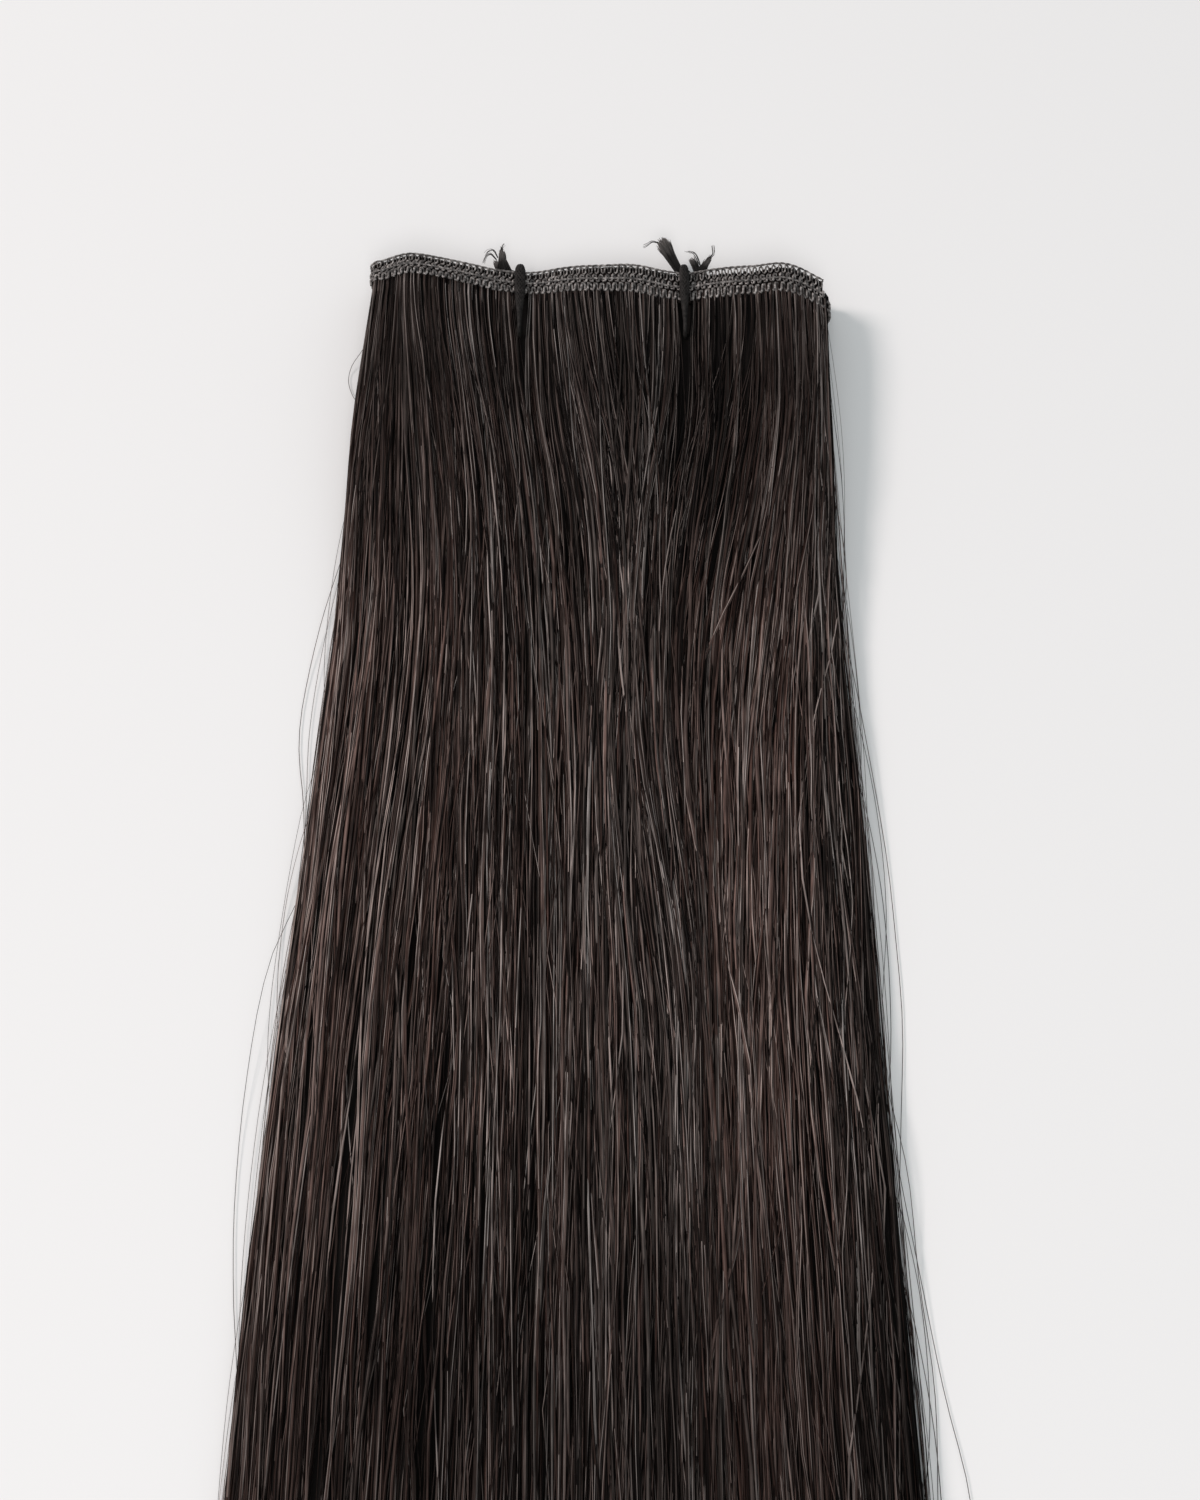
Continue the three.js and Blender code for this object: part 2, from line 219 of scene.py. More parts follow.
# It dips beside a tie: how deep, half how wide, and the distances below the track where the dip fades.
CORE_DIP, CORE_DIP_HALF_WIDTH = 0.7, 2.2
CORE_DIP_FADES = (18, 40)

# Packed hair: the hair's own dark brown made near-black with painted shade, varying a little with its ridges.
dark_hair_with_painted_shade, tree, shader = new_material("dark_hair_with_painted_shade")
ridge_shade = ramp_node(tree, mark_node(tree, "ridge"), [
    (0.0, (0.0018, 0.0014, 0.0012)), (1.0, (0.006, 0.0045, 0.004))])
tree.links.new(ridge_shade, shader.inputs["Base Color"])
tree.links.new(range_node(tree, mark_node(tree, "ridge"), (0, 1), (0.8, 0.6)), shader.inputs["Roughness"])
shader.inputs["Specular IOR Level"].default_value = 0.06

for layer in LAYERS:
    ridges = np.random.default_rng(LAYERS[layer] + RIDGE_SEED)
    ragged = np.random.default_rng(LAYERS[layer] + RAGGED_SEED)
    shorter = CORE_RAGGED * ragged.uniform(0, 1, CORE_COLUMNS)
    row_down = CORE_ROWS[:, None].astype(float)
    down = row_down - shorter * smooth_step(row_down, CORE_RAGGED_FROM, CORE_ROWS[-1])
    left = read(FALL, FALL_LEFT, down) + CORE_INSET
    right = read(FALL, FALL_RIGHT, down) - CORE_INSET
    x = mix(left, right, np.linspace(0, 1, CORE_COLUMNS)[None, :])
    wander = ridges.normal(0, 1, x.shape)
    wander = (wander + np.roll(wander, 1, axis=0) + ridges.normal(0, COLUMN_WANDER, CORE_COLUMNS)) / 2
    ridge = np.clip(0.5 + RIDGE_SPREAD * wander, 0, 1)
    top = CORE_TOP + CORE_RIDGE * (ridge - 0.5)
    for tie_x in TIES_X.values():
        beside = np.exp(-(((x - tie_x) / CORE_DIP_HALF_WIDTH) ** 2))
        top = top - CORE_DIP * beside * (1 - smooth_step(down, *CORE_DIP_FADES))
    upper = curtain_points(layer, x, down, top)
    lower = curtain_points(layer, x, down, np.full_like(x, CORE_UNDER))
    points = np.concatenate([upper, lower[:, ::-1]], axis=1)
    ring = 2 * CORE_COLUMNS
    row, column = np.meshgrid(np.arange(len(CORE_ROWS) - 1), np.arange(ring), indexing="ij")
    a, b = row * ring + column, row * ring + (column + 1) % ring
    walls = np.stack([a, a + ring, b + ring, b], axis=-1).reshape(-1, 4)
    column = np.arange(CORE_COLUMNS - 1)
    last = (len(CORE_ROWS) - 1) * ring
    first_cap = np.stack([column, column + 1, ring - 2 - column, ring - 1 - column], axis=1)
    last_cap = last + first_cap[:, ::-1]
    shade = np.concatenate([ridge, ridge[:, ::-1]], axis=1)
    core = mesh_piece(f"hair_{layer}_core", points.reshape(-1, 3), [walls, first_cap, last_cap],
                      {"ridge": shade.ravel()})
    core.data.materials.append(dark_hair_with_painted_shade)
    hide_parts(f"hair_{layer}")

# Hair strands
# The strands that make up the surface of each curtain: real hair, dark espresso brown with lighter
# and redder ones among it, drawn out of the track in tufts that part into fine wisps further down.
TUFT_PITCH = 1.3
TUFT_HALF_WIDTH = 0.42
TUFTS_PER_LOCK = 2.6
LOCK_PINCH = 0.4
LOCK_CROWN = 0.45
EDGE_INSET = 0.35
STRAND_START = -2.0
STRAND_STATIONS = np.array([
    0, 2.5, 5, 8, 12, 17, 23, 30, 38, 46, 55, 64, 73, 83, 93, 103, 113, 124, 135, 146, 157, 168,
    180, 192, 204, 216, 228, 242, 260, 285, 315, 345, 380, 418, 455]) / HAIR_LENGTH
FINE_SIDES = 3
WARM_BINS = 6
DENSITY_LINE = 140.0

# How the hair falls: distance below the track, then X of guide strands from the left edge to the right.
GUIDES = np.array([
    (0, -47.2, -43.0, -39.5, -30.0, -20.0, -15.0, -8.0, 0.0, 8.0, 15.0, 19.5, 29.0, 35.0, 41.0, 45.0, 46.7),
    (8, -47.9, -43.1, -38.9, -29.3, -19.7, -14.8, -7.3, 0.6, 8.2, 14.9, 19.5, 28.8, 35.0, 41.0, 45.0, 46.6),
    (28, -49.6, -43.2, -36.2, -26.5, -17.9, -13.8, -4.6, 2.4, 8.4, 14.0, 19.2, 26.9, 34.3, 40.8, 44.9, 46.4),
    (50, -50.4, -43.4, -33.6, -24.3, -15.2, -10.6, -1.2, 3.8, 7.2, 11.6, 16.0, 23.2, 31.0, 38.6, 44.2, 46.3),
    (75, -51.4, -44.0, -32.6, -23.3, -13.4, -8.4, 0.8, 4.6, 6.8, 9.8, 13.6, 19.2, 27.4, 35.6, 42.9, 46.5),
    (100, -53.4, -45.2, -33.6, -22.8, -12.4, -7.6, 0.6, 4.2, 6.8, 10.2, 13.2, 17.5, 24.8, 32.9, 41.6, 47.9),
    (130, -55.7, -47.0, -35.8, -22.5, -12.2, -7.4, 0.2, 5.6, 10.2, 13.8, 16.0, 18.1, 23.9, 31.4, 41.2, 49.6),
    (160, -57.7, -48.6, -37.6, -22.2, -12.0, -7.2, 0.6, 8.6, 13.2, 16.0, 17.3, 18.8, 23.4, 30.8, 41.1, 50.5),
    (240, -61.6, -51.5, -40.6, -23.0, -12.2, -7.4, 0.4, 8.8, 13.4, 16.0, 17.4, 18.9, 24.5, 32.5, 42.9, 53.6),
    (340, -61.5, -52.0, -41.4, -23.4, -12.6, -8.0, 0.0, 8.2, 12.8, 15.6, 17.4, 19.2, 25.2, 33.2, 43.6, 54.2),
    (455, -55.0, -47.0, -37.5, -23.0, -12.8, -8.4, -1.0, 7.0, 11.8, 14.8, 17.0, 19.5, 25.5, 33.0, 42.0, 49.5),
])

# The parting that a tie holds open: distance below the track, half its width.
PARTING = np.array([
    (-2, 1.3), (0, 1.3), (2, 1.2), (5, 1.0), (9, 0.65), (14, 0.5), (20, 0.4), (30, 0.24), (42, 0.1),
    (54, 0.0), (460, 0.0),
])
PARTING_REACH = 4.5


# Closed tubes along paths, given as tube, station, XYZ. A tube's first ring is set out from a direction that
# no strand or thread starts along.
ASKEW = np.array([0.31, 0.17, 0.93])


def tube_mesh(paths, radii, sides):
    count, stations = paths.shape[:2]
    radii = np.broadcast_to(radii, (count, stations))
    along = np.gradient(paths, axis=1)
    along = along / np.linalg.norm(along, axis=2, keepdims=True)
    aside = np.cross(along[:, 0], ASKEW)
    asides = np.empty_like(paths)
    for station in range(stations):
        direction = along[:, station]
        aside = aside - (aside * direction).sum(axis=1, keepdims=True) * direction
        aside = aside / np.linalg.norm(aside, axis=1, keepdims=True)
        asides[:, station] = aside
    outwards = np.cross(along, asides)
    turn = np.arange(sides) * 2 * math.pi / sides
    ring = np.cos(turn)[:, None] * asides[:, :, None] + np.sin(turn)[:, None] * outwards[:, :, None]
    points = (paths[:, :, None] + radii[:, :, None, None] * ring).reshape(-1, 3)
    tube, station, side = np.meshgrid(
        np.arange(count), np.arange(stations - 1), np.arange(sides), indexing="ij")
    first = (tube * stations + station) * sides
    a, b = first + side, first + (side + 1) % sides
    walls = np.stack([a, b, b + sides, a + sides], axis=-1).reshape(-1, 4)
    start = (np.arange(count) * stations * sides)[:, None]
    caps = np.concatenate([start + np.arange(sides)[::-1],
                           start + (stations - 1) * sides + np.arange(sides)])
    return points, [walls, caps]


# A strand's place in the bake layout: margins beside its tone and at the ends of its length, and the step
# from one of its sides to the next.
BAKE_TONE_MARGIN, BAKE_LENGTH_MARGIN = 0.06, 0.02
BAKE_SIDE_STEP = 0.002


# A piece made of many strands. Tone runs from dark to light, warm from grey-brown to red-brown. The packed
# hair's material reads the tone as its ridge.
def strand_piece(name, paths, radii, tone, warm, sides, material):
    points, faces = tube_mesh(paths, radii, sides)
    count, stations = paths.shape[:2]
    each = (count, stations, sides)
    warm_bin = np.clip((warm * WARM_BINS).astype(int), 0, WARM_BINS - 1)
    steps = np.cumsum(np.linalg.norm(np.diff(paths, axis=1), axis=2), axis=1)
    length_share = np.concatenate([np.zeros((count, 1)), steps / steps[:, -1:]], axis=1)
    length_share = np.broadcast_to(length_share[:, :, None], each)
    sliver = np.broadcast_to((np.arange(sides) - 1) * BAKE_SIDE_STEP, each)
    column = (warm_bin + mix(BAKE_TONE_MARGIN, 1 - BAKE_TONE_MARGIN, tone)) / WARM_BINS
    row = mix(BAKE_LENGTH_MARGIN, 1 - BAKE_LENGTH_MARGIN, length_share)
    bake = np.stack([column[:, None, None] + sliver, row], axis=-1).reshape(-1, 2)
    strand_tone = np.broadcast_to(tone[:, None, None], each).ravel()
    marks = {
        "tone": strand_tone,
        "ridge": strand_tone,
        "warm": np.broadcast_to((warm_bin / (WARM_BINS - 1))[:, None, None], each).ravel(),
        "along": length_share.ravel(),
    }
    piece = mesh_piece(name, points, faces, marks, bake)
    piece.data.materials.append(material)
    return piece


def mix_node(tree, blend_type, share, a, b):
    node = tree.nodes.new("ShaderNodeMix")
    node.data_type = "RGBA"
    node.blend_type = blend_type
    if isinstance(share, float):
        node.inputs["Factor"].default_value = share
    else:
        tree.links.new(share, node.inputs["Factor"])
    tree.links.new(a, node.inputs["A"])
    tree.links.new(b, node.inputs["B"])
    return node.outputs["Result"]


def grey(level):
    return (level, level, level)


# Painted glints: flecks of brightness along a strand, from cells of noise over its length and over the range
# of tones.
FLECK_CELLS = 45

strand_hair, tree, shader = new_material("strand_hair")
cool_brown = ramp_node(tree, mark_node(tree, "tone"), [
    (0.0, (0.001, 0.0008, 0.0007)), (0.3, (0.008, 0.006, 0.0053)), (0.55, (0.045, 0.0345, 0.0302)),
    (0.8, (0.16, 0.132, 0.12)), (1.0, (0.4, 0.349, 0.328))])
red_brown = ramp_node(tree, mark_node(tree, "tone"), [
    (0.0, (0.0015, 0.0007, 0.0005)), (0.3, (0.011, 0.0052, 0.004)), (0.55, (0.057, 0.0298, 0.0236)),
    (0.8, (0.176, 0.112, 0.096)), (1.0, (0.41, 0.317, 0.285))])
redness = tree.nodes.new("ShaderNodeMath")
redness.operation = "MULTIPLY"
tree.links.new(mark_node(tree, "warm"), redness.inputs[0])
tree.links.new(range_node(tree, mark_node(tree, "along"), (0.01, 0.06), (0.6, 1.0)), redness.inputs[1])
brown = mix_node(tree, "MIX", redness.outputs["Value"], cool_brown, red_brown)
fleck_place = tree.nodes.new("ShaderNodeCombineXYZ")
tree.links.new(range_node(tree, mark_node(tree, "tone"), (0, 1), (0, FLECK_CELLS)), fleck_place.inputs["X"])
tree.links.new(range_node(tree, mark_node(tree, "along"), (0, 1), (0, FLECK_CELLS)), fleck_place.inputs["Y"])
fleck = tree.nodes.new("ShaderNodeTexNoise")
fleck.inputs["Scale"].default_value = 1.0
fleck.inputs["Detail"].default_value = 2.0
tree.links.new(fleck_place.outputs["Vector"], fleck.inputs["Vector"])
painted_glints = ramp_node(tree, fleck.outputs["Fac"], [(0.36, grey(0.28)), (0.6, grey(1.0))])
# Painted shade and sheen along a strand: it is darker just below the track, where the curtain turns from the
# light, and again past two fifths of its length, where the sheen falls off. Red ones are darker near the
# track, with painted shade where they turn from the light.
painted_shade_and_sheen_along = ramp_node(tree, mark_node(tree, "along"), [
    (0.0, grey(1.0)), (0.015, grey(0.85)), (0.045, grey(0.52)), (0.17, grey(1.0)), (0.4, grey(1.0)),
    (0.5, grey(0.5))])
painted_shade_of_red = ramp_node(tree, mark_node(tree, "warm"), [(0.4, grey(1.0)), (1.0, grey(0.42))])
flecked = mix_node(tree, "MULTIPLY", 1.0, brown, painted_glints)
shaded = mix_node(tree, "MULTIPLY", 1.0, flecked, painted_shade_and_sheen_along)
# Painted shade on red strands near the track, fading out between about a ninth and a fifth of the length.
upper_share = range_node(tree, mark_node(tree, "along"), (0.11, 0.19), (1.0, 0.0))
tree.links.new(mix_node(tree, "MULTIPLY", upper_share, shaded, painted_shade_of_red), shader.inputs["Base Color"])
tree.links.new(range_node(tree, fleck.outputs["Fac"], (0.36, 0.64), (0.44, 0.24)), shader.inputs["Roughness"])
shader.inputs["Specular IOR Level"].default_value = 0.09
shader.inputs["Specular Tint"].default_value = (1.0, 0.86, 0.82, 1.0)


# X of strands at distances below the track, by where they leave it.
def guided_x(root, down):
    rows = np.stack([curve(GUIDES[0, 1:], row[1:], root) for row in GUIDES])
    return curve(GUIDES[:, 0], rows, down)


# Shades across the hair: X at mid length, how much lighter and how much redder it is there.
SHADES = np.array([
    (-56.0, 0.02, 0.2), (-35.0, 0.0, 0.15), (-21.0, -0.04, 0.0), (-10.0, 0.07, 0.05), (0.0, -0.02, -0.1),
    (10.0, -0.1, -0.3), (16.5, -0.08, -0.25), (19.5, 0.1, 0.25), (30.0, 0.09, 0.3), (39.0, 0.0, 0.1),
    (44.0, -0.13, -0.25), (52.0, -0.15, -0.2),
])
SHADE_LIGHTER, SHADE_REDDER = 1, 2

# A layer's hair is made of wisps, in which many hairs cling together, and single hairs on top. Each kind:
# lowest and highest level in the curtain, least and greatest radius, tone at its lowest and highest level,
# darker below with painted shade, and its variation, how far it strays, how much of that it keeps past the
# curtain's sides, sides of its tubes.
KINDS = {
    "wisps": ((0.2, 1.0), (0.12, 0.35), (0.36, 0.66), 0.22, 1.0, 0.15, 4),
    "hairs": ((0.7, 1.08), (0.045, 0.085), (0.46, 0.64), 0.36, 1.2, 0.3, FINE_SIDES),
}


# Distances below the track over which the hair changes: its strands leave the track and swell to their full
# radius, its tufts open, its locks gather, and its leaning and its waves come in.
LEAVES_TRACK = (-1.0, 2.5)
STRANDS_SWELL = (8, 50)
TUFTS_OPEN = (10, 60)
LOCKS_GATHER = (12, 70)
LEANING_GROWS = (4, 40)
WAVES_GROW = (8, 60)

# Roots: samples of the fall between them, share of the strands spread evenly by where they fall and not by
# where they start, inset of the outermost tufts, and length of the shortest strand.
FINE_ROOTS = 200
EVEN_BELOW_SHARE = 0.55
TUFT_INSET = 0.2
SHORTEST_SHARE = 0.89

# Tufts: how far strands lie from the middle of one, how much wider it opens, half the width over which the
# fall's stretching is measured, and the limits of that.
IN_TUFT_SPREAD, IN_TUFT_LIMIT = 0.6, 1.1
TUFT_OPENING = 1.4
STRETCH_SAMPLE = 0.6
STRETCH_LIMITS = (0.3, 3)

# Locks: number, X where the first one starts, least and greatest share of the usual width, variation of
# tone, share of the crown that stands above the curtain's level, seed.
LOCKS = 60
LOCKS_FROM_X = -55
LOCK_WIDTHS = (0.5, 1.5)
LOCK_TONE_SPREAD = 0.07
LOCK_CROWN_LIFT = 0.4
LOCK_SEED = 81

# Leaning: slope of a tuft and of a strand, share of it at the root, distance over which it dies out.
TUFT_LEAN, STRAND_LEAN = 0.03, 0.05
LEAN_AT_ROOT = 0.4
LEAN_LENGTH = 90

# Waves: least and greatest length of the slow and quick ones across the curtain, of the dips under the
# neighbours and of the ripples. The first two swing at random, by a shape and a size.
WAVE_LENGTHS = [(110, 230), (35, 80), (45, 100), (24, 50)]
SLOW_SHAPE, SLOW_SIZE = 1.6, 0.62
QUICK_SHAPE, QUICK_SIZE = 1.5, 0.2
DIP_AT_ROOT, DIP = 0.05, 0.3
RIPPLE, RADIUS_RIPPLE = 0.16, 0.3

# Levels in the curtain: where strands leave the track, and the lowest and highest that they reach.
ROOT_LEVEL = 0.45
LEVEL_LIMITS = (-0.9, 1.15)

# Radius: how far thin strands outnumber thick ones, share at the root, and the stretches of the length over
# which a strand thins, with what each leaves of its radius.
THICKNESS_BIAS = 1.4
ROOT_RADIUS_SHARE = 0.74
THINNING = [((0.6, 0.9), 0.7), ((0.92, 1.0), 0.15)]

# Colour: share of the tone's variation in fine and in thick strands, lightest tone of the thickest wisps,
# warmth and its variation.
FINE_TONE_SHARE, THICK_TONE_SHARE = 1.3, 0.6
THICK_WISP_TONE = 0.66
WARMTH, WARMTH_SPREAD = 0.55, 0.3


# Paths, radii, tone, warmth and sides of one kind of strand in a layer. seed fixes the random draws.
def layer_strands(layer, kind, count, seed, from_x, to_x):
    levels, thicknesses, tones, tone_spread, straying, past_edge, sides = KINDS[kind]
    draw, lock_draw = np.random.default_rng(seed), np.random.default_rng(LAYERS[layer] + LOCK_SEED)

    # where each strand leaves the track, and its tuft and lock
    fine_roots = np.linspace(from_x, to_x, FINE_ROOTS)
    below = guided_x(fine_roots, np.full((FINE_ROOTS, 1), DENSITY_LINE))[:, 0]
    even_below = np.interp(draw.uniform(below[0], below[-1], count), below, fine_roots)
    even_root = draw.uniform(from_x, to_x, count)
    root = np.where(draw.uniform(size=count) < EVEN_BELOW_SHARE, even_below, even_root)
    tuft = np.round(root / TUFT_PITCH)
    tuft_names, tuft_of = np.unique(tuft, return_inverse=True)
    centre = np.clip(tuft * TUFT_PITCH, FALL[0, FALL_LEFT] + TUFT_INSET, FALL[0, FALL_RIGHT] - TUFT_INSET)
    lock_widths = TUFT_PITCH * TUFTS_PER_LOCK * lock_draw.uniform(*LOCK_WIDTHS, LOCKS)
    lock_edges = np.cumsum(lock_widths) + LOCKS_FROM_X
    lock = np.searchsorted(lock_edges, root)
    lock_middle = (lock_edges[lock] + lock_edges[lock - 1]) / 2
    lock_half = (lock_edges[lock] - lock_edges[lock - 1]) / 2

    # how it runs down, in its tuft and then in its lock, parted by the ties
    stations = STRAND_STATIONS if layer == "front" else STRAND_STATIONS[::2]
    length = HAIR_LENGTH * draw.uniform(SHORTEST_SHARE, 1.0, count)[:, None]
    down = STRAND_START + (length - STRAND_START) * stations
    below_root = np.clip(down, 0, None)
    sample = guided_x(centre + STRETCH_SAMPLE, down) - guided_x(centre - STRETCH_SAMPLE, down)
    stretch = np.clip(sample / (2 * STRETCH_SAMPLE), *STRETCH_LIMITS)
    within = np.clip(draw.normal(0, IN_TUFT_SPREAD, count), -IN_TUFT_LIMIT, IN_TUFT_LIMIT)[:, None]
    spread = TUFT_HALF_WIDTH * (1 + TUFT_OPENING * smooth_step(down, *TUFTS_OPEN)) * stretch
    x = guided_x(centre, down) + within * spread
    gathered = smooth_step(down, *LOCKS_GATHER)
    x = mix(x, guided_x(lock_middle, down), LOCK_PINCH / straying * gathered)
    tuft_lean = draw.normal(0, TUFT_LEAN, len(tuft_names))[tuft_of]
    lean = tuft_lean + draw.normal(0, STRAND_LEAN * straying, count)
    leaning = mix(LEAN_AT_ROOT, 1.0, smooth_step(down, *LEANING_GROWS))
    x = x + lean[:, None] * below_root * np.exp(-below_root / LEAN_LENGTH) * leaning
    for tie_x in TIES_X.values():
        line = guided_x(np.full(count, tie_x), down)
        push = read(PARTING, 1, down) * np.clip(1 - np.abs(x - line) / PARTING_REACH, 0, 1)
        x = x + np.where(centre > tie_x, 1, -1)[:, None] * push

    # its waves across the curtain, held in at the sides
    loose = smooth_step(down, *WAVES_GROW)
    phases = draw.uniform(0, 2 * math.pi, (len(WAVE_LENGTHS), count, 1))
    wave_lengths = [draw.uniform(shortest, longest, (count, 1)) for shortest, longest in WAVE_LENGTHS]
    slow_wave, quick_wave, dip_wave, ripple_wave = (
        np.sin(2 * math.pi * down / wave_length + phase) for wave_length, phase in zip(wave_lengths, phases))
    slow = draw.gamma(SLOW_SHAPE, SLOW_SIZE * straying, (count, 1))
    quick = draw.gamma(QUICK_SHAPE, QUICK_SIZE * straying, (count, 1))
    x = x + loose * (slow * slow_wave + quick * quick_wave)
    left, right = read(FALL, FALL_LEFT, down) + EDGE_INSET, read(FALL, FALL_RIGHT, down) - EDGE_INSET
    x = x - (1 - past_edge) * (x - np.clip(x, left, right))

    # its height, where it dips under its neighbours and rises on the crown of its lock
    level = draw.uniform(*levels, count)
    dip = mix(DIP_AT_ROOT, DIP, loose) * dip_wave + RIPPLE * loose * ripple_wave
    crown = LOCK_CROWN * (LOCK_CROWN_LIFT - ((root - lock_middle) / lock_half) ** 2)[:, None] * gathered
    out = np.clip(level[:, None] + dip + crown, *LEVEL_LIMITS)
    paths = curtain_points(layer, x, down, mix(ROOT_LEVEL, out, smooth_step(down, *LEAVES_TRACK)))

    # its radius and colour
    thick_share = draw.uniform(0, 1, count) ** THICKNESS_BIAS
    thick = mix(*thicknesses, thick_share)[:, None]
    taper = np.ones_like(stations)
    for stretch_of_length, left_over in THINNING:
        taper = taper * mix(1.0, left_over, smooth_step(stations, *stretch_of_length))
    swell = mix(ROOT_RADIUS_SHARE, 1.0, smooth_step(down, *STRANDS_SWELL))
    radii = thick * taper[None, :] * swell * (1 + RADIUS_RIPPLE * loose * ripple_wave)
    mid_x = guided_x(centre, np.full((count, 1), DENSITY_LINE))[:, 0]
    # Deeper strands are painted darker, as the shade of the strands above them.
    level_share = (level - levels[0]) / (levels[1] - levels[0])
    tone_share = mix(FINE_TONE_SHARE, THICK_TONE_SHARE, thick_share)
    tone = mix(*tones, level_share) + draw.normal(0, 1, count) * tone_spread * tone_share
    tone = tone + lock_draw.normal(0, LOCK_TONE_SPREAD, LOCKS)[lock] + read(SHADES, SHADE_LIGHTER, mid_x)
    tone = np.clip(np.minimum(tone, mix(1.0, THICK_WISP_TONE, thick_share)), 0, 1)
    warm = np.clip(draw.normal(WARMTH, WARMTH_SPREAD, count) + read(SHADES, SHADE_REDDER, mid_x), 0, 1)
    return paths, radii, tone, warm, sides


# Dark hair under each wisp, painted near-black as the shade beneath it, and darker under lighter wisps: how
# far it lies below the wisp and how much wider it is, in radii of the wisp.
BED_DROP, BED_WIDTH = 0.9, 1.55

# Hairs that cling to each thick wisp and show on its surface: number, least radius of such a wisp, their own
# radius, their place over its upper half, how they wind along it, how much lighter they are and how much
# that varies.
CLING_HAIRS = 2
CLING_FROM_RADIUS = 0.18
CLING_RADIUS = 0.085
CLING_PLACES = (0.25, 0.75)
CLING_WINDING, CLING_WINDING_STARTS = 12, (0, 6)
CLING_TONE, CLING_TONE_SPREAD = 0.06, 0.36

# Runs of hair: layer, X of both ends, number of wisps and of single hairs.
FIRST_STRAND_SEED, SEEDS_A_RUN = 21, 3
LAYER_PARTS = {
    "front_left": ("front", -47.0, -17.0, 220, 205),
    "front_centre": ("front", -16.6, 17.0, 220, 205),
    "front_right": ("front", 17.6, 46.6, 220, 205),
    "middle": ("middle", -47.1, 46.6, 120, 60),
    "back": ("back", -47.1, 46.6, 120, 60),
}
for part_number, (part, (layer, from_x, to_x, wisp_count, hair_count)) in enumerate(LAYER_PARTS.items()):
    seed = FIRST_STRAND_SEED + SEEDS_A_RUN * part_number
    paths, radii, tone, warm, sides = layer_strands(layer, "wisps", wisp_count, seed, from_x, to_x)
    strand_piece(f"hair_{part}_wisps", paths, radii, tone, warm, sides, strand_hair)
    # Painted shade: a dark copy of each wisp, set lower and wider under it.
    under = paths - BED_DROP * radii[:, :, None] * (0, 0, 1)
    under[:, :, 2] = np.maximum(under[:, :, 2], BED_WIDTH * radii)
    strand_piece(f"hair_{part}_painted_shade", under, BED_WIDTH * radii, 1 - tone, warm, FINE_SIDES, dark_hair_with_painted_shade)

    hairs = layer_strands(layer, "hairs", hair_count, seed + 1, from_x, to_x)
    strand_piece(f"hair_{part}_hairs", *hairs, strand_hair)
    if layer != "front":
        continue

    draw = np.random.default_rng(seed + 2)
    thick = np.flatnonzero(radii[:, len(STRAND_STATIONS) // 2] > CLING_FROM_RADIUS)
    thick = np.repeat(thick, CLING_HAIRS)
    over_wisp = draw.uniform(*CLING_PLACES, (len(thick), 1)) * math.pi
    winding_start = draw.uniform(*CLING_WINDING_STARTS, (len(thick), 1))
    turn = over_wisp + np.sin(CLING_WINDING * STRAND_STATIONS + winding_start)
    beside = np.stack([np.cos(turn), np.zeros_like(turn), np.sin(turn)], axis=-1)
    cling = paths[thick] + radii[thick][:, :, None] * beside
    cling_radii = np.full(cling.shape[:2], CLING_RADIUS)
    cling_tone = np.clip(tone[thick] + draw.normal(CLING_TONE, CLING_TONE_SPREAD, len(thick)), 0, 1)
    strand_piece(
        f"hair_{part}_clinging", cling, cling_radii, cling_tone, warm[thick], FINE_SIDES, strand_hair)

# Stray hairs
# Single hairs of the same dark brown that have slipped out of the sides of the hair. Most lie on the table in
# long arcs, and some stand off the sides of the front layer, where the light catches them.
STRAY_RADIUS, STRAY_RADII = 0.055, (0.7, 1.3)
# Strays are given lighter tones than the hair; the lightest of them are painted glints.
STRAY_TONES_AND_GLINTS, STRAY_WARMTHS = (0.4, 0.95), (0.2, 0.9)
STRAY_STATIONS = 20
STRAY_SEED = 41

# A stray hair leaves the curtain, comes down to the table and lifts towards its tip: its heights, and the
# shares of its length over which it comes down and lifts.
STRAY_LEAVES, STRAY_LOW, STRAY_LIFT = 2.2, 0.25, 1.2
STRAY_COMES_DOWN, STRAY_LIFTS = (0, 0.5), (0.75, 1)

# Strays that show singly, in turn: distance below the track and X of the points that it passes.
STRAYS = [
    [(6, -48.0), (9, -49.9), (12, -51.9), (15.5, -52.4), (19, -51.4), (22, -50.0)],
    [(48, -49.5), (55, -50.6), (73, -55.0), (90, -57.6), (100, -57.8), (112, -56.2), (130, -55.0)],
    [(52, -49.8), (62, -51.6), (80, -54.6), (96, -56.0), (110, -55.8), (126, -55.4)],
    [(100, -53.0), (114, -56.4), (142, -59.6), (160, -60.0), (176, -58.2), (190, -58.6)],
    [(130, -55.4), (144, -60.6), (166, -63.4), (187, -64.0), (204, -63.0), (220, -61.2), (240, -61.0)],
    [(36, 46.0), (44, 46.9), (55, 48.5), (64, 48.6), (75, 46.8), (90, 46.9)],
    [(70, 46.0), (79, 48.0), (100, 50.9), (122, 53.4), (138, 54.2), (155, 54.5), (172, 53.2), (190, 51.6)],
    [(84, 46.6), (93, 49.0), (112, 52.0), (132, 52.8), (150, 51.0)],
    [(170, 50.6), (184, 52.4), (201, 55.0), (220, 57.9), (236, 60.9), (262, 62.0)],
    [(165, 50.4), (182, 53.6), (200, 54.6), (219, 56.2), (240, 55.4), (260, 54.2)],
]

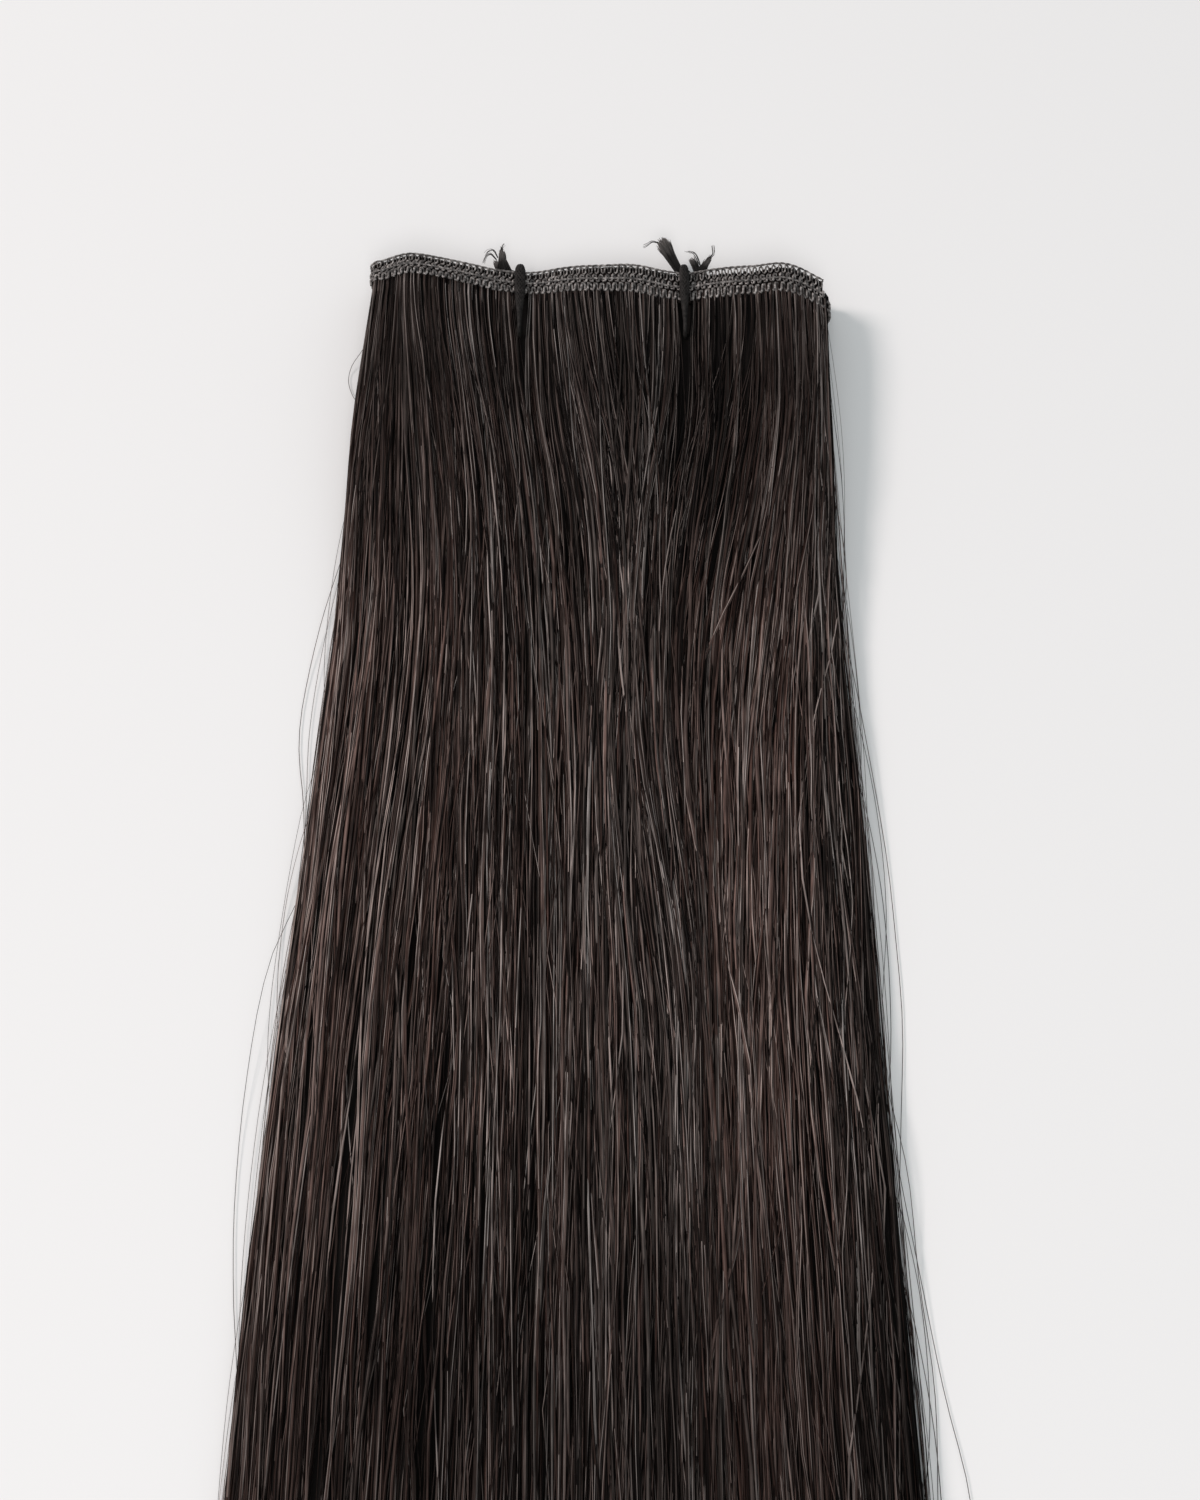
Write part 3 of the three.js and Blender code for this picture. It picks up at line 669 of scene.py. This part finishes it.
# The other strays of each side: number, distances below the track where they start, shape and size of
# their random reach past the edge, its greatest value, where one bends and which share of the reach it has
# there, and the least and greatest share of that length.
STRAYS_A_SIDE = 40
STRAY_STARTS = (20, 340)
STRAY_REACH_SHAPE, STRAY_REACH_SIZE = 1.4, 0.85
STRAY_REACH = 2.6
STRAY_BENDS = np.array([0, 12, 30, 52, 70])
STRAY_BENDS_OUT = np.array([-0.6, 0.4, 1.0, 0.7, -0.4])
STRAY_LENGTHS = (0.7, 1.4)

# Hairs that stand off the sides of the front layer: side, column of its edge, number, greatest reach past the
# edge. Then where they start below the track, how long they are, shares of the reach, inset of their ends
# and level in the curtain.
EDGE_HAIRS = [(-1, FALL_LEFT, 9, 1.3), (1, FALL_RIGHT, 14, 2.9)]
EDGE_HAIR_STARTS, EDGE_HAIR_LENGTHS = (4, 40), (60, 110)
EDGE_HAIR_REACHES = (0.1, 1.0)
EDGE_HAIR_INSET = 0.4
EDGE_HAIR_LEVEL = 0.4


def stray_path(points):
    points = np.array(points, dtype=float)
    down = np.linspace(points[0, 0], points[-1, 0], STRAY_STATIONS)
    x = read(points, 1, down)
    share = np.linspace(0, 1, STRAY_STATIONS)
    z = mix(STRAY_LEAVES, STRAY_LOW, smooth_step(share, *STRAY_COMES_DOWN))
    z = z + STRAY_LIFT * smooth_step(share, *STRAY_LIFTS)
    return np.stack([x, -ROOT_LINE - down, z], axis=1)


draw = np.random.default_rng(STRAY_SEED)
stray_points = list(STRAYS)
for side, column in ((-1, FALL_LEFT), (1, FALL_RIGHT)):
    for start in draw.uniform(*STRAY_STARTS, STRAYS_A_SIDE):
        reach = min(draw.gamma(STRAY_REACH_SHAPE, STRAY_REACH_SIZE), STRAY_REACH)
        down = start + STRAY_BENDS * draw.uniform(*STRAY_LENGTHS)
        edge = read(FALL, column, down)
        stray_points.append(list(zip(down, edge + side * reach * STRAY_BENDS_OUT)))
strays = [stray_path(points) for points in stray_points]
share = np.linspace(0, 1, STRAY_STATIONS)
for side, column, hair_count, reach in EDGE_HAIRS:
    for _ in range(hair_count):
        down = draw.uniform(*EDGE_HAIR_STARTS) + draw.uniform(*EDGE_HAIR_LENGTHS) * share
        edge = read(FALL, column, down)
        height = curtain_points("front", edge, down, np.array(EDGE_HAIR_LEVEL))[:, 2]
        off_edge = draw.uniform(*EDGE_HAIR_REACHES) * reach * np.sin(math.pi * share) - EDGE_HAIR_INSET
        strays.append(np.stack([edge + side * off_edge, -ROOT_LINE - down, height], axis=1))
paths = np.stack(strays)
count = len(paths)
radii = STRAY_RADIUS * draw.uniform(*STRAY_RADII, count)[:, None]
tone, warm = draw.uniform(*STRAY_TONES_AND_GLINTS, count), draw.uniform(*STRAY_WARMTHS, count)
strand_piece("stray_hairs", paths, radii, tone, warm, FINE_SIDES, strand_hair)

# Sewn track
# The roots are folded over and locked by three machine-sewn rows of grey-brown polyester thread. The
# top row loops round the folded roots and leaves open eyes; the track runs on round both folds.
FREE_END_FRONT_X, FREE_END_BACK_X = 46.0, -45.0
FOLD_LEFT_X, FOLD_RIGHT_X = -45.5, 46.3
STITCH_LENGTH = 1.3
RUN_STATIONS, FOLD_STATIONS = 120, 26


def straight_run(layer, start, end):
    x = np.linspace(start, end, RUN_STATIONS)
    return np.stack([x, read(STACK, STACK_RISE, x), read(STACK, LAYERS[layer] + 1, x)], axis=1)


def fold_run(x, upper, lower, outwards):
    high, low = (read(STACK, LAYERS[layer] + 1, np.array(x)) for layer in (upper, lower))
    radius = (high - low) / 2
    turn = np.linspace(0, math.pi, FOLD_STATIONS)[1:-1]
    rise = np.full_like(turn, read(STACK, STACK_RISE, np.array(x)))
    return np.stack([x + outwards * radius * np.sin(turn), rise, low + radius * (1 + np.cos(turn))], axis=1)


route = np.concatenate([
    straight_run("front", FREE_END_FRONT_X, FOLD_LEFT_X),
    fold_run(FOLD_LEFT_X, "front", "middle", -1),
    straight_run("middle", FOLD_LEFT_X, FOLD_RIGHT_X),
    fold_run(FOLD_RIGHT_X, "middle", "back", 1),
    straight_run("back", FOLD_RIGHT_X, FREE_END_BACK_X),
])
route_length = np.concatenate([[0], np.cumsum(np.hypot(*np.diff(route[:, [0, 2]], axis=0).T))])
heading = np.gradient(route, route_length, axis=0)
face_x, face_z = heading[:, 2], -heading[:, 0]
face_size = np.hypot(face_x, face_z)


# The front run is sewn wider at its right end and narrower towards its left end: shares of the track's width,
# and the distances along it over which it narrows and, past the fold, widens again.
WIDE_SHARE, NARROW_SHARE = 1.1, 0.75
TRACK_NARROWS, TRACK_WIDENS = (30, 78), (96, 130)


# Points of the track: run is the distance along it, down the distance below its top edge, and out the
# distance from its middle towards the face that shows on the front layer.
def track_points(run, down, out):
    x, rise, z = (np.interp(run, route_length, route[:, axis]) for axis in range(3))
    width_share = mix(WIDE_SHARE, NARROW_SHARE, smooth_step(run, *TRACK_NARROWS))
    width_share = width_share + (1 - NARROW_SHARE) * smooth_step(run, *TRACK_WIDENS)
    down = down * width_share
    aside = np.interp(run, route_length, face_x / face_size)
    above = np.interp(run, route_length, face_z / face_size)
    return np.stack(np.broadcast_arrays(x + out * aside, rise - down, z + out * above), axis=-1)


# How open the stitches are: they gape over the right end of the front run, and are tight elsewhere. X where
# the gaping sets in and where it ends.
GAPING_SETS_IN, GAPING_ENDS = (13, 21), (34, 41)


def openness(run):
    x = FREE_END_FRONT_X - run
    return smooth_step(x, *GAPING_SETS_IN) * (1 - smooth_step(x, *GAPING_ENDS))


# The imported roots inside the track, one thin dark band that the stitches go through, in the packed hair's
# near-black with its painted shade. Its top edge lies lower where the stitches gape.
BAND_TOP, BAND_TOP_GAPING = 0.4, 1.2
BAND_BOTTOM = 6.5
BAND_HALF_THICKNESS = 0.14
BAND_END_INSET = 0.3
BAND_STATIONS = 420
BAND_SEED = 52
draw = np.random.default_rng(BAND_SEED)
band_run = np.linspace(BAND_END_INSET, route_length[-1] - BAND_END_INSET, BAND_STATIONS)
band_top = mix(BAND_TOP, BAND_TOP_GAPING, openness(band_run))
corners = [(band_top, 1), (BAND_BOTTOM, 1), (BAND_BOTTOM, -1), (band_top, -1)]
points = np.stack(
    [track_points(band_run, down, BAND_HALF_THICKNESS * face) for down, face in corners], axis=1)
station, side = np.meshgrid(np.arange(len(band_run) - 1), np.arange(4), indexing="ij")
a, b = 4 * station + side, 4 * station + (side + 1) % 4
walls = np.stack([a, b, b + 4, a + 4], axis=-1).reshape(-1, 4)
ends = np.stack([np.arange(4)[::-1], 4 * (len(band_run) - 1) + np.arange(4)])
ridge = np.repeat(draw.uniform(0, 1, len(band_run)), 4)
band = mesh_piece("track_band", points.reshape(-1, 3), [walls, ends], {"ridge": ridge})
band.data.materials.append(dark_hair_with_painted_shade)

# Root strands that fold over the track's edge. One goes up the front face, over the edge and down the back,
# by distance below the edge and out from the middle. Tufts are slimmer and start lower where stitches gape.
ROOTS_PER_TUFT = 7
ROOT_RADIUS, ROOT_RADII = 0.18, (0.8, 1.2)
ROOT_DOWN = np.array([6.7, 5.6, 3.4, 0.9, 0.0, 0.9, 3.4, 5.6, 6.7])[None, :]
ROOT_OUT = np.array([-0.1, 0.3, 0.36, 0.26, 0.0, -0.26, -0.36, -0.3, 0.1])[None, :]
ROOT_TUFT_HALF, ROOT_TUFT_HALF_GAPING = 0.6, 0.36
ROOT_TOP, ROOT_TOP_GAPING, ROOT_TOP_SPREAD = 0.3, 1.05, 0.12
ROOT_WANDER, ROOT_WANDER_WAVE = 0.1, 1.3
ROOT_TONE, ROOT_TONE_SPREAD = 0.24, 0.12
ROOT_WARMTH, ROOT_WARMTH_SPREAD = 0.3, 0.2
ROOT_SEED = 51
draw = np.random.default_rng(ROOT_SEED)
tufts = int(route_length[-1] / STITCH_LENGTH)
tuft_run = (np.arange(tufts) + 0.5)[:, None] * STITCH_LENGTH
root_half = mix(ROOT_TUFT_HALF, ROOT_TUFT_HALF_GAPING, openness(tuft_run))
root_run = (tuft_run + root_half * draw.uniform(-1, 1, (tufts, ROOTS_PER_TUFT))).ravel()[:, None]
wander = draw.normal(0, ROOT_WANDER, root_run.shape) * np.sin(ROOT_DOWN * ROOT_WANDER_WAVE)
root_top = mix(ROOT_TOP, ROOT_TOP_GAPING, openness(root_run))
root_top = root_top + draw.normal(0, ROOT_TOP_SPREAD, root_run.shape)
paths = track_points(root_run + wander, np.maximum(ROOT_DOWN, root_top), ROOT_OUT)
count = len(paths)
radii = np.full((count, 1), ROOT_RADIUS) * draw.uniform(*ROOT_RADII, (count, 1))
tone = np.clip(draw.normal(ROOT_TONE, ROOT_TONE_SPREAD, count), 0, 1)
warm = np.clip(draw.normal(ROOT_WARMTH, ROOT_WARMTH_SPREAD, count), 0, 1)
strand_piece("track_roots", paths, radii, tone, warm, FINE_SIDES, strand_hair)

# Rows of stitches that zigzag down and up along a face: top and bottom below the track's edge, thread
# radius. The top row holds the edge from the front alone, so that its eyes are open.
STITCH_ROWS = [(0.1, 2.3, 0.21), (2.0, 4.4, 0.29), (4.1, 6.6, 0.31)]
STITCH_STATIONS = 8
THREAD_SIDES = 4

# How far the thread stands out from the track's middle and bulges, how each row is set off from the one
# above, and how far a stitch slants.
STITCH_OUT, STITCH_BULGE = 0.42, 0.2
ROW_SET_OFF = 1.1
STITCH_SLANT = 0.12


# The rows wander a little up and down along the track, and their stitches vary in height.
def row_wander(run):
    return 0.1 * np.sin(run * 0.53 + 2)


def stitch_height(run):
    return 1 + 0.1 * np.sin(run * 0.37) + 0.07 * np.sin(run * 0.91 + 1)


stitches = int(route_length[-1] / STITCH_LENGTH)
beat = np.linspace(0, stitches, stitches * STITCH_STATIONS + 1)
run = beat * STITCH_LENGTH
paths, radii = [], []
for face in (1, -1):
    for row, (top, bottom, radius) in enumerate(STITCH_ROWS):
        if row == 0 and face == -1:
            continue
        phase = 2 * math.pi * beat + ROW_SET_OFF * row
        middle, half = (top + bottom) / 2, (bottom - top) / 2 - radius
        row_down = middle + row_wander(run) - half * stitch_height(run) * np.cos(phase)
        row_out = face * (STITCH_OUT + STITCH_BULGE * np.sin(phase))
        paths.append(track_points(run + STITCH_SLANT * np.sin(2 * phase), row_down, row_out))
        radii.append([radius])
points, faces = tube_mesh(np.stack(paths), np.array(radii), THREAD_SIDES)
stitches_piece = mesh_piece("track_stitches", points, faces)

# Cords of two twisted threads, laid along the track at its edge and over the middle row: distance below the
# edge, thread radius. Then how far they stand out, and how far their threads lie from the cord's middle.
EDGE_CORDS = [(0.2, 0.15), (3.4, 0.15)]
CORD_STATIONS = 4
CORD_OUT, CORD_TWIST = 0.72, 0.1
beat = np.linspace(0, stitches, stitches * CORD_STATIONS + 1)
run = beat * STITCH_LENGTH
paths, radii = [], []
for cord_down, radius in EDGE_CORDS:
    for start in (0, math.pi):
        twist = math.pi * beat + start
        cord_out = CORD_OUT + CORD_TWIST * np.cos(twist)
        paths.append(track_points(run, cord_down + row_wander(run) + CORD_TWIST * np.sin(twist), cord_out))
        radii.append([radius])
points, faces = tube_mesh(np.stack(paths), np.array(radii), THREAD_SIDES)
cords_piece = mesh_piece("track_cords", points, faces)

sewing_thread, tree, shader = new_material("sewing_thread")
fibre = tree.nodes.new("ShaderNodeTexNoise")
fibre.inputs["Scale"].default_value = 1500.0
fibre.inputs["Detail"].default_value = 3.0
place = tree.nodes.new("ShaderNodeTexCoord")
tree.links.new(place.outputs["Object"], fibre.inputs["Vector"])
# The thread's fibres, dark to pale grey-brown; the palest specks are painted glints of the polyester's sheen.
thread_fibres_and_glints = ramp_node(tree, fibre.outputs["Fac"], [
    (0.32, (0.023, 0.0197, 0.0183)), (0.5, (0.118, 0.1015, 0.0945)), (0.68, (0.38, 0.342, 0.322))])
tree.links.new(thread_fibres_and_glints, shader.inputs["Base Color"])
tree.links.new(range_node(tree, fibre.outputs["Fac"], (0.3, 0.7), (0.6, 0.42)), shader.inputs["Roughness"])
stitches_piece.data.materials.append(sewing_thread)
cords_piece.data.materials.append(sewing_thread)
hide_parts("weft_track")

# Elastic ties
# Two short lengths of soft dark elastic, braided flat round a rubber core. Each loops over the stack and
# through the parting, is knotted behind the track, and its cut ends have frayed into loose fibres.
CORD_WIDTH, CORD_THICKNESS = 2.6, 1.5
CORD_CORNER = 1.05
TIE_DEPTH = 15.6
BRAID_STRANDS = 9
BRAID_PITCH = 9.0
BRAID_STATIONS = 120
BRAID_RADIUS = 0.26
BRAID_SWELL = 0.05
BRAID_SIDES = 4
RUBBER_RADIUS = 0.5

# The loop narrows down the front and where it goes over the edge: distances below the top edge, share of its
# width that is left.
NARROWS_DOWN, NARROW_BELOW = (4.5, 14.5), 0.2
NARROWS_OVER_EDGE, NARROW_AT_EDGE = (-1.6, 1.2), 0.5

# The knot's wraps: radius, share of it from the track outwards and upwards, radius of the cord, turns of
# one, how each is tilted, and how far that moves it aside and away from the track.
KNOT_RADIUS = 1.15
KNOT_DEPTH, KNOT_HEIGHT = 0.55, 0.8
KNOT_CORD_RADIUS = 0.55
KNOT_TURNS = 1.04
KNOT_TILTS = (0.2, 1.1, 2.2)
KNOT_LEAN_ASIDE, KNOT_LEAN_ABOVE = 0.3, 0.25
KNOT_STATIONS, KNOT_SIDES = 28, 8

# Knot and cut ends of each tie, as reach aside from the tie, above the track's top edge, and height. An
# end runs from its root to its tip, with half its width at each, and has so many fibres.
TIES = {
    "left": {"slim": 0.88, "seed": 61, "knot": (-2.2, 0.9, 4.2), "tails": [
        ((-3.6, 1.6, 4.4), (-4.3, 8.5, 5.2), 2.1, 0.3, 240),
        ((-4.4, 2.2, 4.2), (-5.6, 5.4, 4.8), 0.9, 0.4, 90)]},
    "right": {"slim": 0.76, "seed": 62, "knot": (0.3, 1.0, 4.2), "tails": [
        ((-0.5, 2.0, 4.4), (-4.8, 10.4, 5.4), 0.75, 1.4, 200),
        ((3.2, 1.6, 4.2), (6.2, 6.6, 5.0), 1.4, 0.3, 120),
        ((3.2, 2.2, 4.2), (1.8, 6.0, 4.9), 0.7, 0.7, 40)]},
}

# Fibres of a cut end: share of its thickness to its width, how much shorter the outer ones are where it
# narrows and where it spreads, least and greatest length, curl at the tips, radius at root and tip.
FIBRE_STATIONS = 9
TAIL_FLATNESS = 0.7
SHORTER_NARROWING, SHORTER_SPREADING = 0.3, 0.15
FIBRE_LENGTHS = (0.9, 1.06)
FIBRE_CURL, FIBRE_CURLS_FROM = 0.2, 0.55
FIBRE_ROOT_RADIUS, FIBRE_TIP_RADIUS, FIBRE_THINS_FROM = 0.12, 0.05, 0.6

# Wisps of fibres that have come loose from the cut ends: fibres in each, how far they part, radius at root
# and tip. Then the points that each wisp passes.
FRAY_FIBRES = 7
FRAY_SPREAD, FRAY_AT_ROOT = 0.16, 0.3
FRAY_ROOT_RADIUS, FRAY_TIP_RADIUS = 0.06, 0.035
WISPS_OF_FRAY = {
    "left": [[(-5.2, 5.4, 4.6), (-6.4, 6.6, 5.0), (-7.4, 6.0, 5.0), (-7.9, 4.6, 4.6)],
             [(-5.0, 6.0, 4.6), (-5.9, 7.6, 5.0), (-7.0, 7.4, 5.0), (-7.6, 6.6, 4.8)],
             [(-4.3, 7.0, 5.0), (-4.2, 7.8, 5.2), (-4.0, 8.3, 5.3), (-3.7, 8.7, 5.3)]],
    "right": [[(-5.0, 9.2, 5.4), (-6.4, 9.6, 5.4), (-7.4, 9.0, 5.2), (-8.2, 8.6, 5.0)],
              [(3.6, 4.0, 4.6), (3.0, 5.6, 5.0), (2.2, 6.8, 5.2), (0.9, 7.0, 5.2)],
              [(4.4, 4.4, 4.6), (5.6, 5.8, 5.0), (6.3, 6.6, 5.2), (6.2, 8.6, 5.4)]],
}

elastic_cover, tree, shader = new_material("elastic_cover")
fuzz = tree.nodes.new("ShaderNodeTexNoise")
fuzz.inputs["Scale"].default_value = 1400.0
fuzz.inputs["Detail"].default_value = 3.0
place = tree.nodes.new("ShaderNodeTexCoord")
tree.links.new(place.outputs["Object"], fuzz.inputs["Vector"])
cover_shade = ramp_node(tree, fuzz.outputs["Fac"], [
    (0.3, (0.005, 0.0041, 0.0036)), (0.7, (0.022, 0.0182, 0.0164))])
tree.links.new(cover_shade, shader.inputs["Base Color"])
tree.links.new(range_node(tree, fuzz.outputs["Fac"], (0.3, 0.7), (0.8, 0.6)), shader.inputs["Roughness"])
shader.inputs["Specular IOR Level"].default_value = 0.2


# The fibres of a cut end are dark where they leave the cover and paler where they have come loose.
frayed_fibre, tree, shader = new_material("frayed_fibre")
fibre_shade = ramp_node(tree, mark_node(tree, "towards_tip"), [
    (0.0, (0.006, 0.005, 0.0045)), (0.55, (0.013, 0.011, 0.01)), (1.0, (0.13, 0.118, 0.112))])
tree.links.new(fibre_shade, shader.inputs["Base Color"])
shader.inputs["Roughness"].default_value = 0.7
shader.inputs["Specular IOR Level"].default_value = 0.2


# Centre line of a tie's loop, seen from the side: over the top edge, down the front, through the
# parting, and back along the table. The answer holds distance below the top edge, height and length.
CORNER_STATIONS = 9


def loop_line(tie_x, stations):
    rise = read(STACK, STACK_RISE, np.array(tie_x))
    front = read(STACK, LAYERS["front"] + 1, np.array(tie_x))
    half = CORD_THICKNESS / 2
    near, far = -rise, TIE_DEPTH - CORD_CORNER
    low, high = half + CORD_CORNER, front + half
    corners = [(near, high, math.pi), (far, high, math.pi / 2), (far, low, 0), (near, low, -math.pi / 2)]
    outline = []
    for down, height, start in corners:
        arc = np.linspace(start, start - math.pi / 2, CORNER_STATIONS)
        corner = np.stack([down + CORD_CORNER * np.cos(arc), height + CORD_CORNER * np.sin(arc)], axis=1)
        outline.append(corner)
    outline = np.concatenate(outline + [outline[0][:1]])
    length = np.concatenate([[0], np.cumsum(np.hypot(*np.diff(outline, axis=0).T))])
    at = np.linspace(0, length[-1] * (1 + 1 / stations), stations) % length[-1]
    return np.interp(at, length, outline[:, 0]), np.interp(at, length, outline[:, 1]), length[-1]


for side, tie_x in TIES_X.items():
    draw = np.random.default_rng(TIES[side]["seed"])
    down, height, loop_length = loop_line(tie_x, BRAID_STATIONS)
    slope_down, slope_height = np.gradient(down), np.gradient(height)
    size = np.hypot(slope_down, slope_height)
    out_down, out_height = -slope_height / size, slope_down / size
    narrow = mix(1.0, NARROW_BELOW, smooth_step(down, *NARROWS_DOWN))
    narrow = narrow * mix(NARROW_AT_EDGE, 1.0, smooth_step(down, *NARROWS_OVER_EDGE))
    narrow = narrow * TIES[side]["slim"]
    turns = round(loop_length / BRAID_PITCH)
    share = np.linspace(0, 1, BRAID_STATIONS)
    tubes, thick = [], []
    for way in (1, -1):
        for strand in range(BRAID_STRANDS):
            turn = 2 * math.pi * (way * turns * share + strand / BRAID_STRANDS)
            swell = 1 + BRAID_SWELL * np.cos(BRAID_STRANDS * turn * way + math.pi * (strand % 2))
            aside = (CORD_WIDTH / 2 - BRAID_RADIUS) * narrow * swell * np.cos(turn)
            lift = (CORD_THICKNESS / 2 - BRAID_RADIUS) * swell * np.sin(turn)
            tubes.append(np.stack(
                [tie_x + aside, -(down + lift * out_down), height + lift * out_height], axis=1))
            thick.append(np.full(BRAID_STATIONS, BRAID_RADIUS))
    tubes.append(np.stack([np.full_like(down, tie_x), -down, height], axis=1))
    thick.append(np.full(BRAID_STATIONS, RUBBER_RADIUS))
    points, faces = tube_mesh(np.stack(tubes), np.stack(thick), BRAID_SIDES)
    loop = mesh_piece(f"tie_{side}_loop", points, faces)
    loop.data.materials.append(elastic_cover)
    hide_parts(f"tie_{side}")

    knot = np.array(TIES[side]["knot"]) + (tie_x, 0, 0)
    wraps = []
    for tilt in KNOT_TILTS:
        turn = np.linspace(0, 2 * math.pi * KNOT_TURNS, KNOT_STATIONS)
        depth = KNOT_DEPTH * np.sin(turn) * math.cos(tilt)
        ring = KNOT_RADIUS * np.stack([np.cos(turn), depth, np.sin(turn)], axis=1)
        lean = np.array([KNOT_LEAN_ASIDE * math.sin(tilt), KNOT_LEAN_ABOVE * math.cos(tilt), 0])
        wraps.append(knot + lean + ring * (1.0, 1.0, KNOT_HEIGHT))
    points, faces = tube_mesh(np.stack(wraps), np.array([[KNOT_CORD_RADIUS]]), KNOT_SIDES)
    knot_piece = mesh_piece(f"tie_{side}_knot", points, faces)
    knot_piece.data.materials.append(elastic_cover)

    fibres, fibre_radii = [], []
    share = np.linspace(0, 1, FIBRE_STATIONS)
    for root, tip, root_half, tip_half, fibre_count in TIES[side]["tails"]:
        root, tip = np.array(root) + (tie_x, 0, 0), np.array(tip) + (tie_x, 0, 0)
        along = (tip - root) / np.linalg.norm(tip - root)
        across = np.cross((0, 0, 1), along)
        across = across / np.linalg.norm(across)
        upright = np.cross(along, across)
        for _ in range(fibre_count):
            radius, angle = math.sqrt(draw.uniform()), draw.uniform(0, 2 * math.pi)
            offset = radius * (math.cos(angle) * across + TAIL_FLATNESS * math.sin(angle) * upright)
            half = mix(root_half, tip_half, share)
            shorter = SHORTER_NARROWING if tip_half < root_half else SHORTER_SPREADING
            reach = share * (1 - shorter * radius) * draw.uniform(*FIBRE_LENGTHS)
            curl = smooth_step(share, FIBRE_CURLS_FROM, 1) * draw.normal(0, FIBRE_CURL)
            path = root + reach[:, None] * (tip - root) + half[:, None] * offset + curl[:, None] * across
            fibres.append(path)
            thinning = smooth_step(share, FIBRE_THINS_FROM, 1)
            fibre_radii.append(mix(FIBRE_ROOT_RADIUS, FIBRE_TIP_RADIUS, thinning))
    for wisp in WISPS_OF_FRAY[side]:
        wisp = np.array(wisp) + (tie_x, 0, 0)
        keys = np.linspace(0, 1, len(wisp))
        centre = np.stack([curve(keys, wisp[:, axis], share) for axis in range(3)], axis=1)
        for _ in range(FRAY_FIBRES):
            fray = draw.normal(0, FRAY_SPREAD, 3)[None, :] * (FRAY_AT_ROOT + share[:, None])
            fibres.append(centre + fray)
            fibre_radii.append(mix(FRAY_ROOT_RADIUS, FRAY_TIP_RADIUS, share))
    points, faces = tube_mesh(np.stack(fibres), np.stack(fibre_radii), FINE_SIDES)
    towards_tip = np.tile(np.repeat(share, FINE_SIDES), len(fibres))
    ends_piece = mesh_piece(f"tie_{side}_ends", points, faces, {"towards_tip": towards_tip})
    ends_piece.data.materials.append(frayed_fibre)

# Table
# A plain pale table top under the weft. It is not part of the object.
TABLE_HALF = 30.0
TABLE_HEIGHT = -0.0001
table_mesh = bpy.data.meshes.new("table")
table_corners = [
    (x * TABLE_HALF, y * TABLE_HALF, TABLE_HEIGHT) for x, y in ((-1, -1), (1, -1), (1, 1), (-1, 1))]
table_mesh.from_pydata(table_corners, [], [(0, 1, 2, 3)])
table = bpy.data.objects.new("table", table_mesh)
bpy.context.scene.collection.objects.link(table)
table_white, tree, shader = new_material("table_white")
shader.inputs["Base Color"].default_value = (0.825, 0.803, 0.792, 1.0)
shader.inputs["Roughness"].default_value = 0.8
shader.inputs["Specular IOR Level"].default_value = 0.1
table_mesh.materials.append(table_white)

# Light
# A soft lamp above the upper left, a weak one in front and above, and a pale room all round.
KEY_FROM = Vector((-0.75, 0.33, 0.57))
KEY_DISTANCE = 3.2
KEY_SIZE = 0.85
KEY_POWER = 67.0
KEY_COLOUR = (1.0, 0.913, 0.892)
FILL_PLACE = Vector((0.0, -0.95, 1.15))
FILL_SIZE = 0.6
FILL_POWER = 7.0
ROOM_STRENGTH = 0.53
ROOM_COLOUR = (0.875, 0.962, 1.0, 1.0)
key_light = bpy.data.lights.new("key", "AREA")
key_light.size = KEY_SIZE
key_light.energy = KEY_POWER
key_light.color = KEY_COLOUR
key = bpy.data.objects.new("key", key_light)
key.location = KEY_FROM * KEY_DISTANCE
key.rotation_euler = (-KEY_FROM).to_track_quat("-Z", "Y").to_euler()
bpy.context.scene.collection.objects.link(key)
fill_light = bpy.data.lights.new("fill", "AREA")
fill_light.size = FILL_SIZE
fill_light.energy = FILL_POWER
fill = bpy.data.objects.new("fill", fill_light)
fill.location = FILL_PLACE
fill.rotation_euler = (-FILL_PLACE).to_track_quat("-Z", "Y").to_euler()
bpy.context.scene.collection.objects.link(fill)
room = bpy.data.worlds.new("room")
room.use_nodes = True
room.node_tree.nodes["Background"].inputs["Color"].default_value = ROOM_COLOUR
room.node_tree.nodes["Background"].inputs["Strength"].default_value = ROOM_STRENGTH
bpy.context.scene.world = room
bpy.context.scene.view_settings.view_transform = "Standard"

# Camera
# It looks down at the weft from the hair's side, 65 degrees below the horizon.
IMAGE_HEIGHT = 1500
FOCAL_PIXELS = 2200
SENSOR = 36.0
LOOK_DOWN = 65
CAMERA_PLACE = (0.00367, -0.0589, 0.3818)
CLIP_START = 0.01
camera_data = bpy.data.cameras.new("camera")
camera_data.sensor_fit = "VERTICAL"
camera_data.sensor_height = SENSOR
camera_data.sensor_width = SENSOR
camera_data.lens = FOCAL_PIXELS / IMAGE_HEIGHT * SENSOR
camera_data.clip_start = CLIP_START
camera = bpy.data.objects.new("camera", camera_data)
camera.location = CAMERA_PLACE
camera.rotation_euler = (math.radians(90 - LOOK_DOWN), 0, 0)
bpy.context.scene.collection.objects.link(camera)
bpy.context.scene.camera = camera
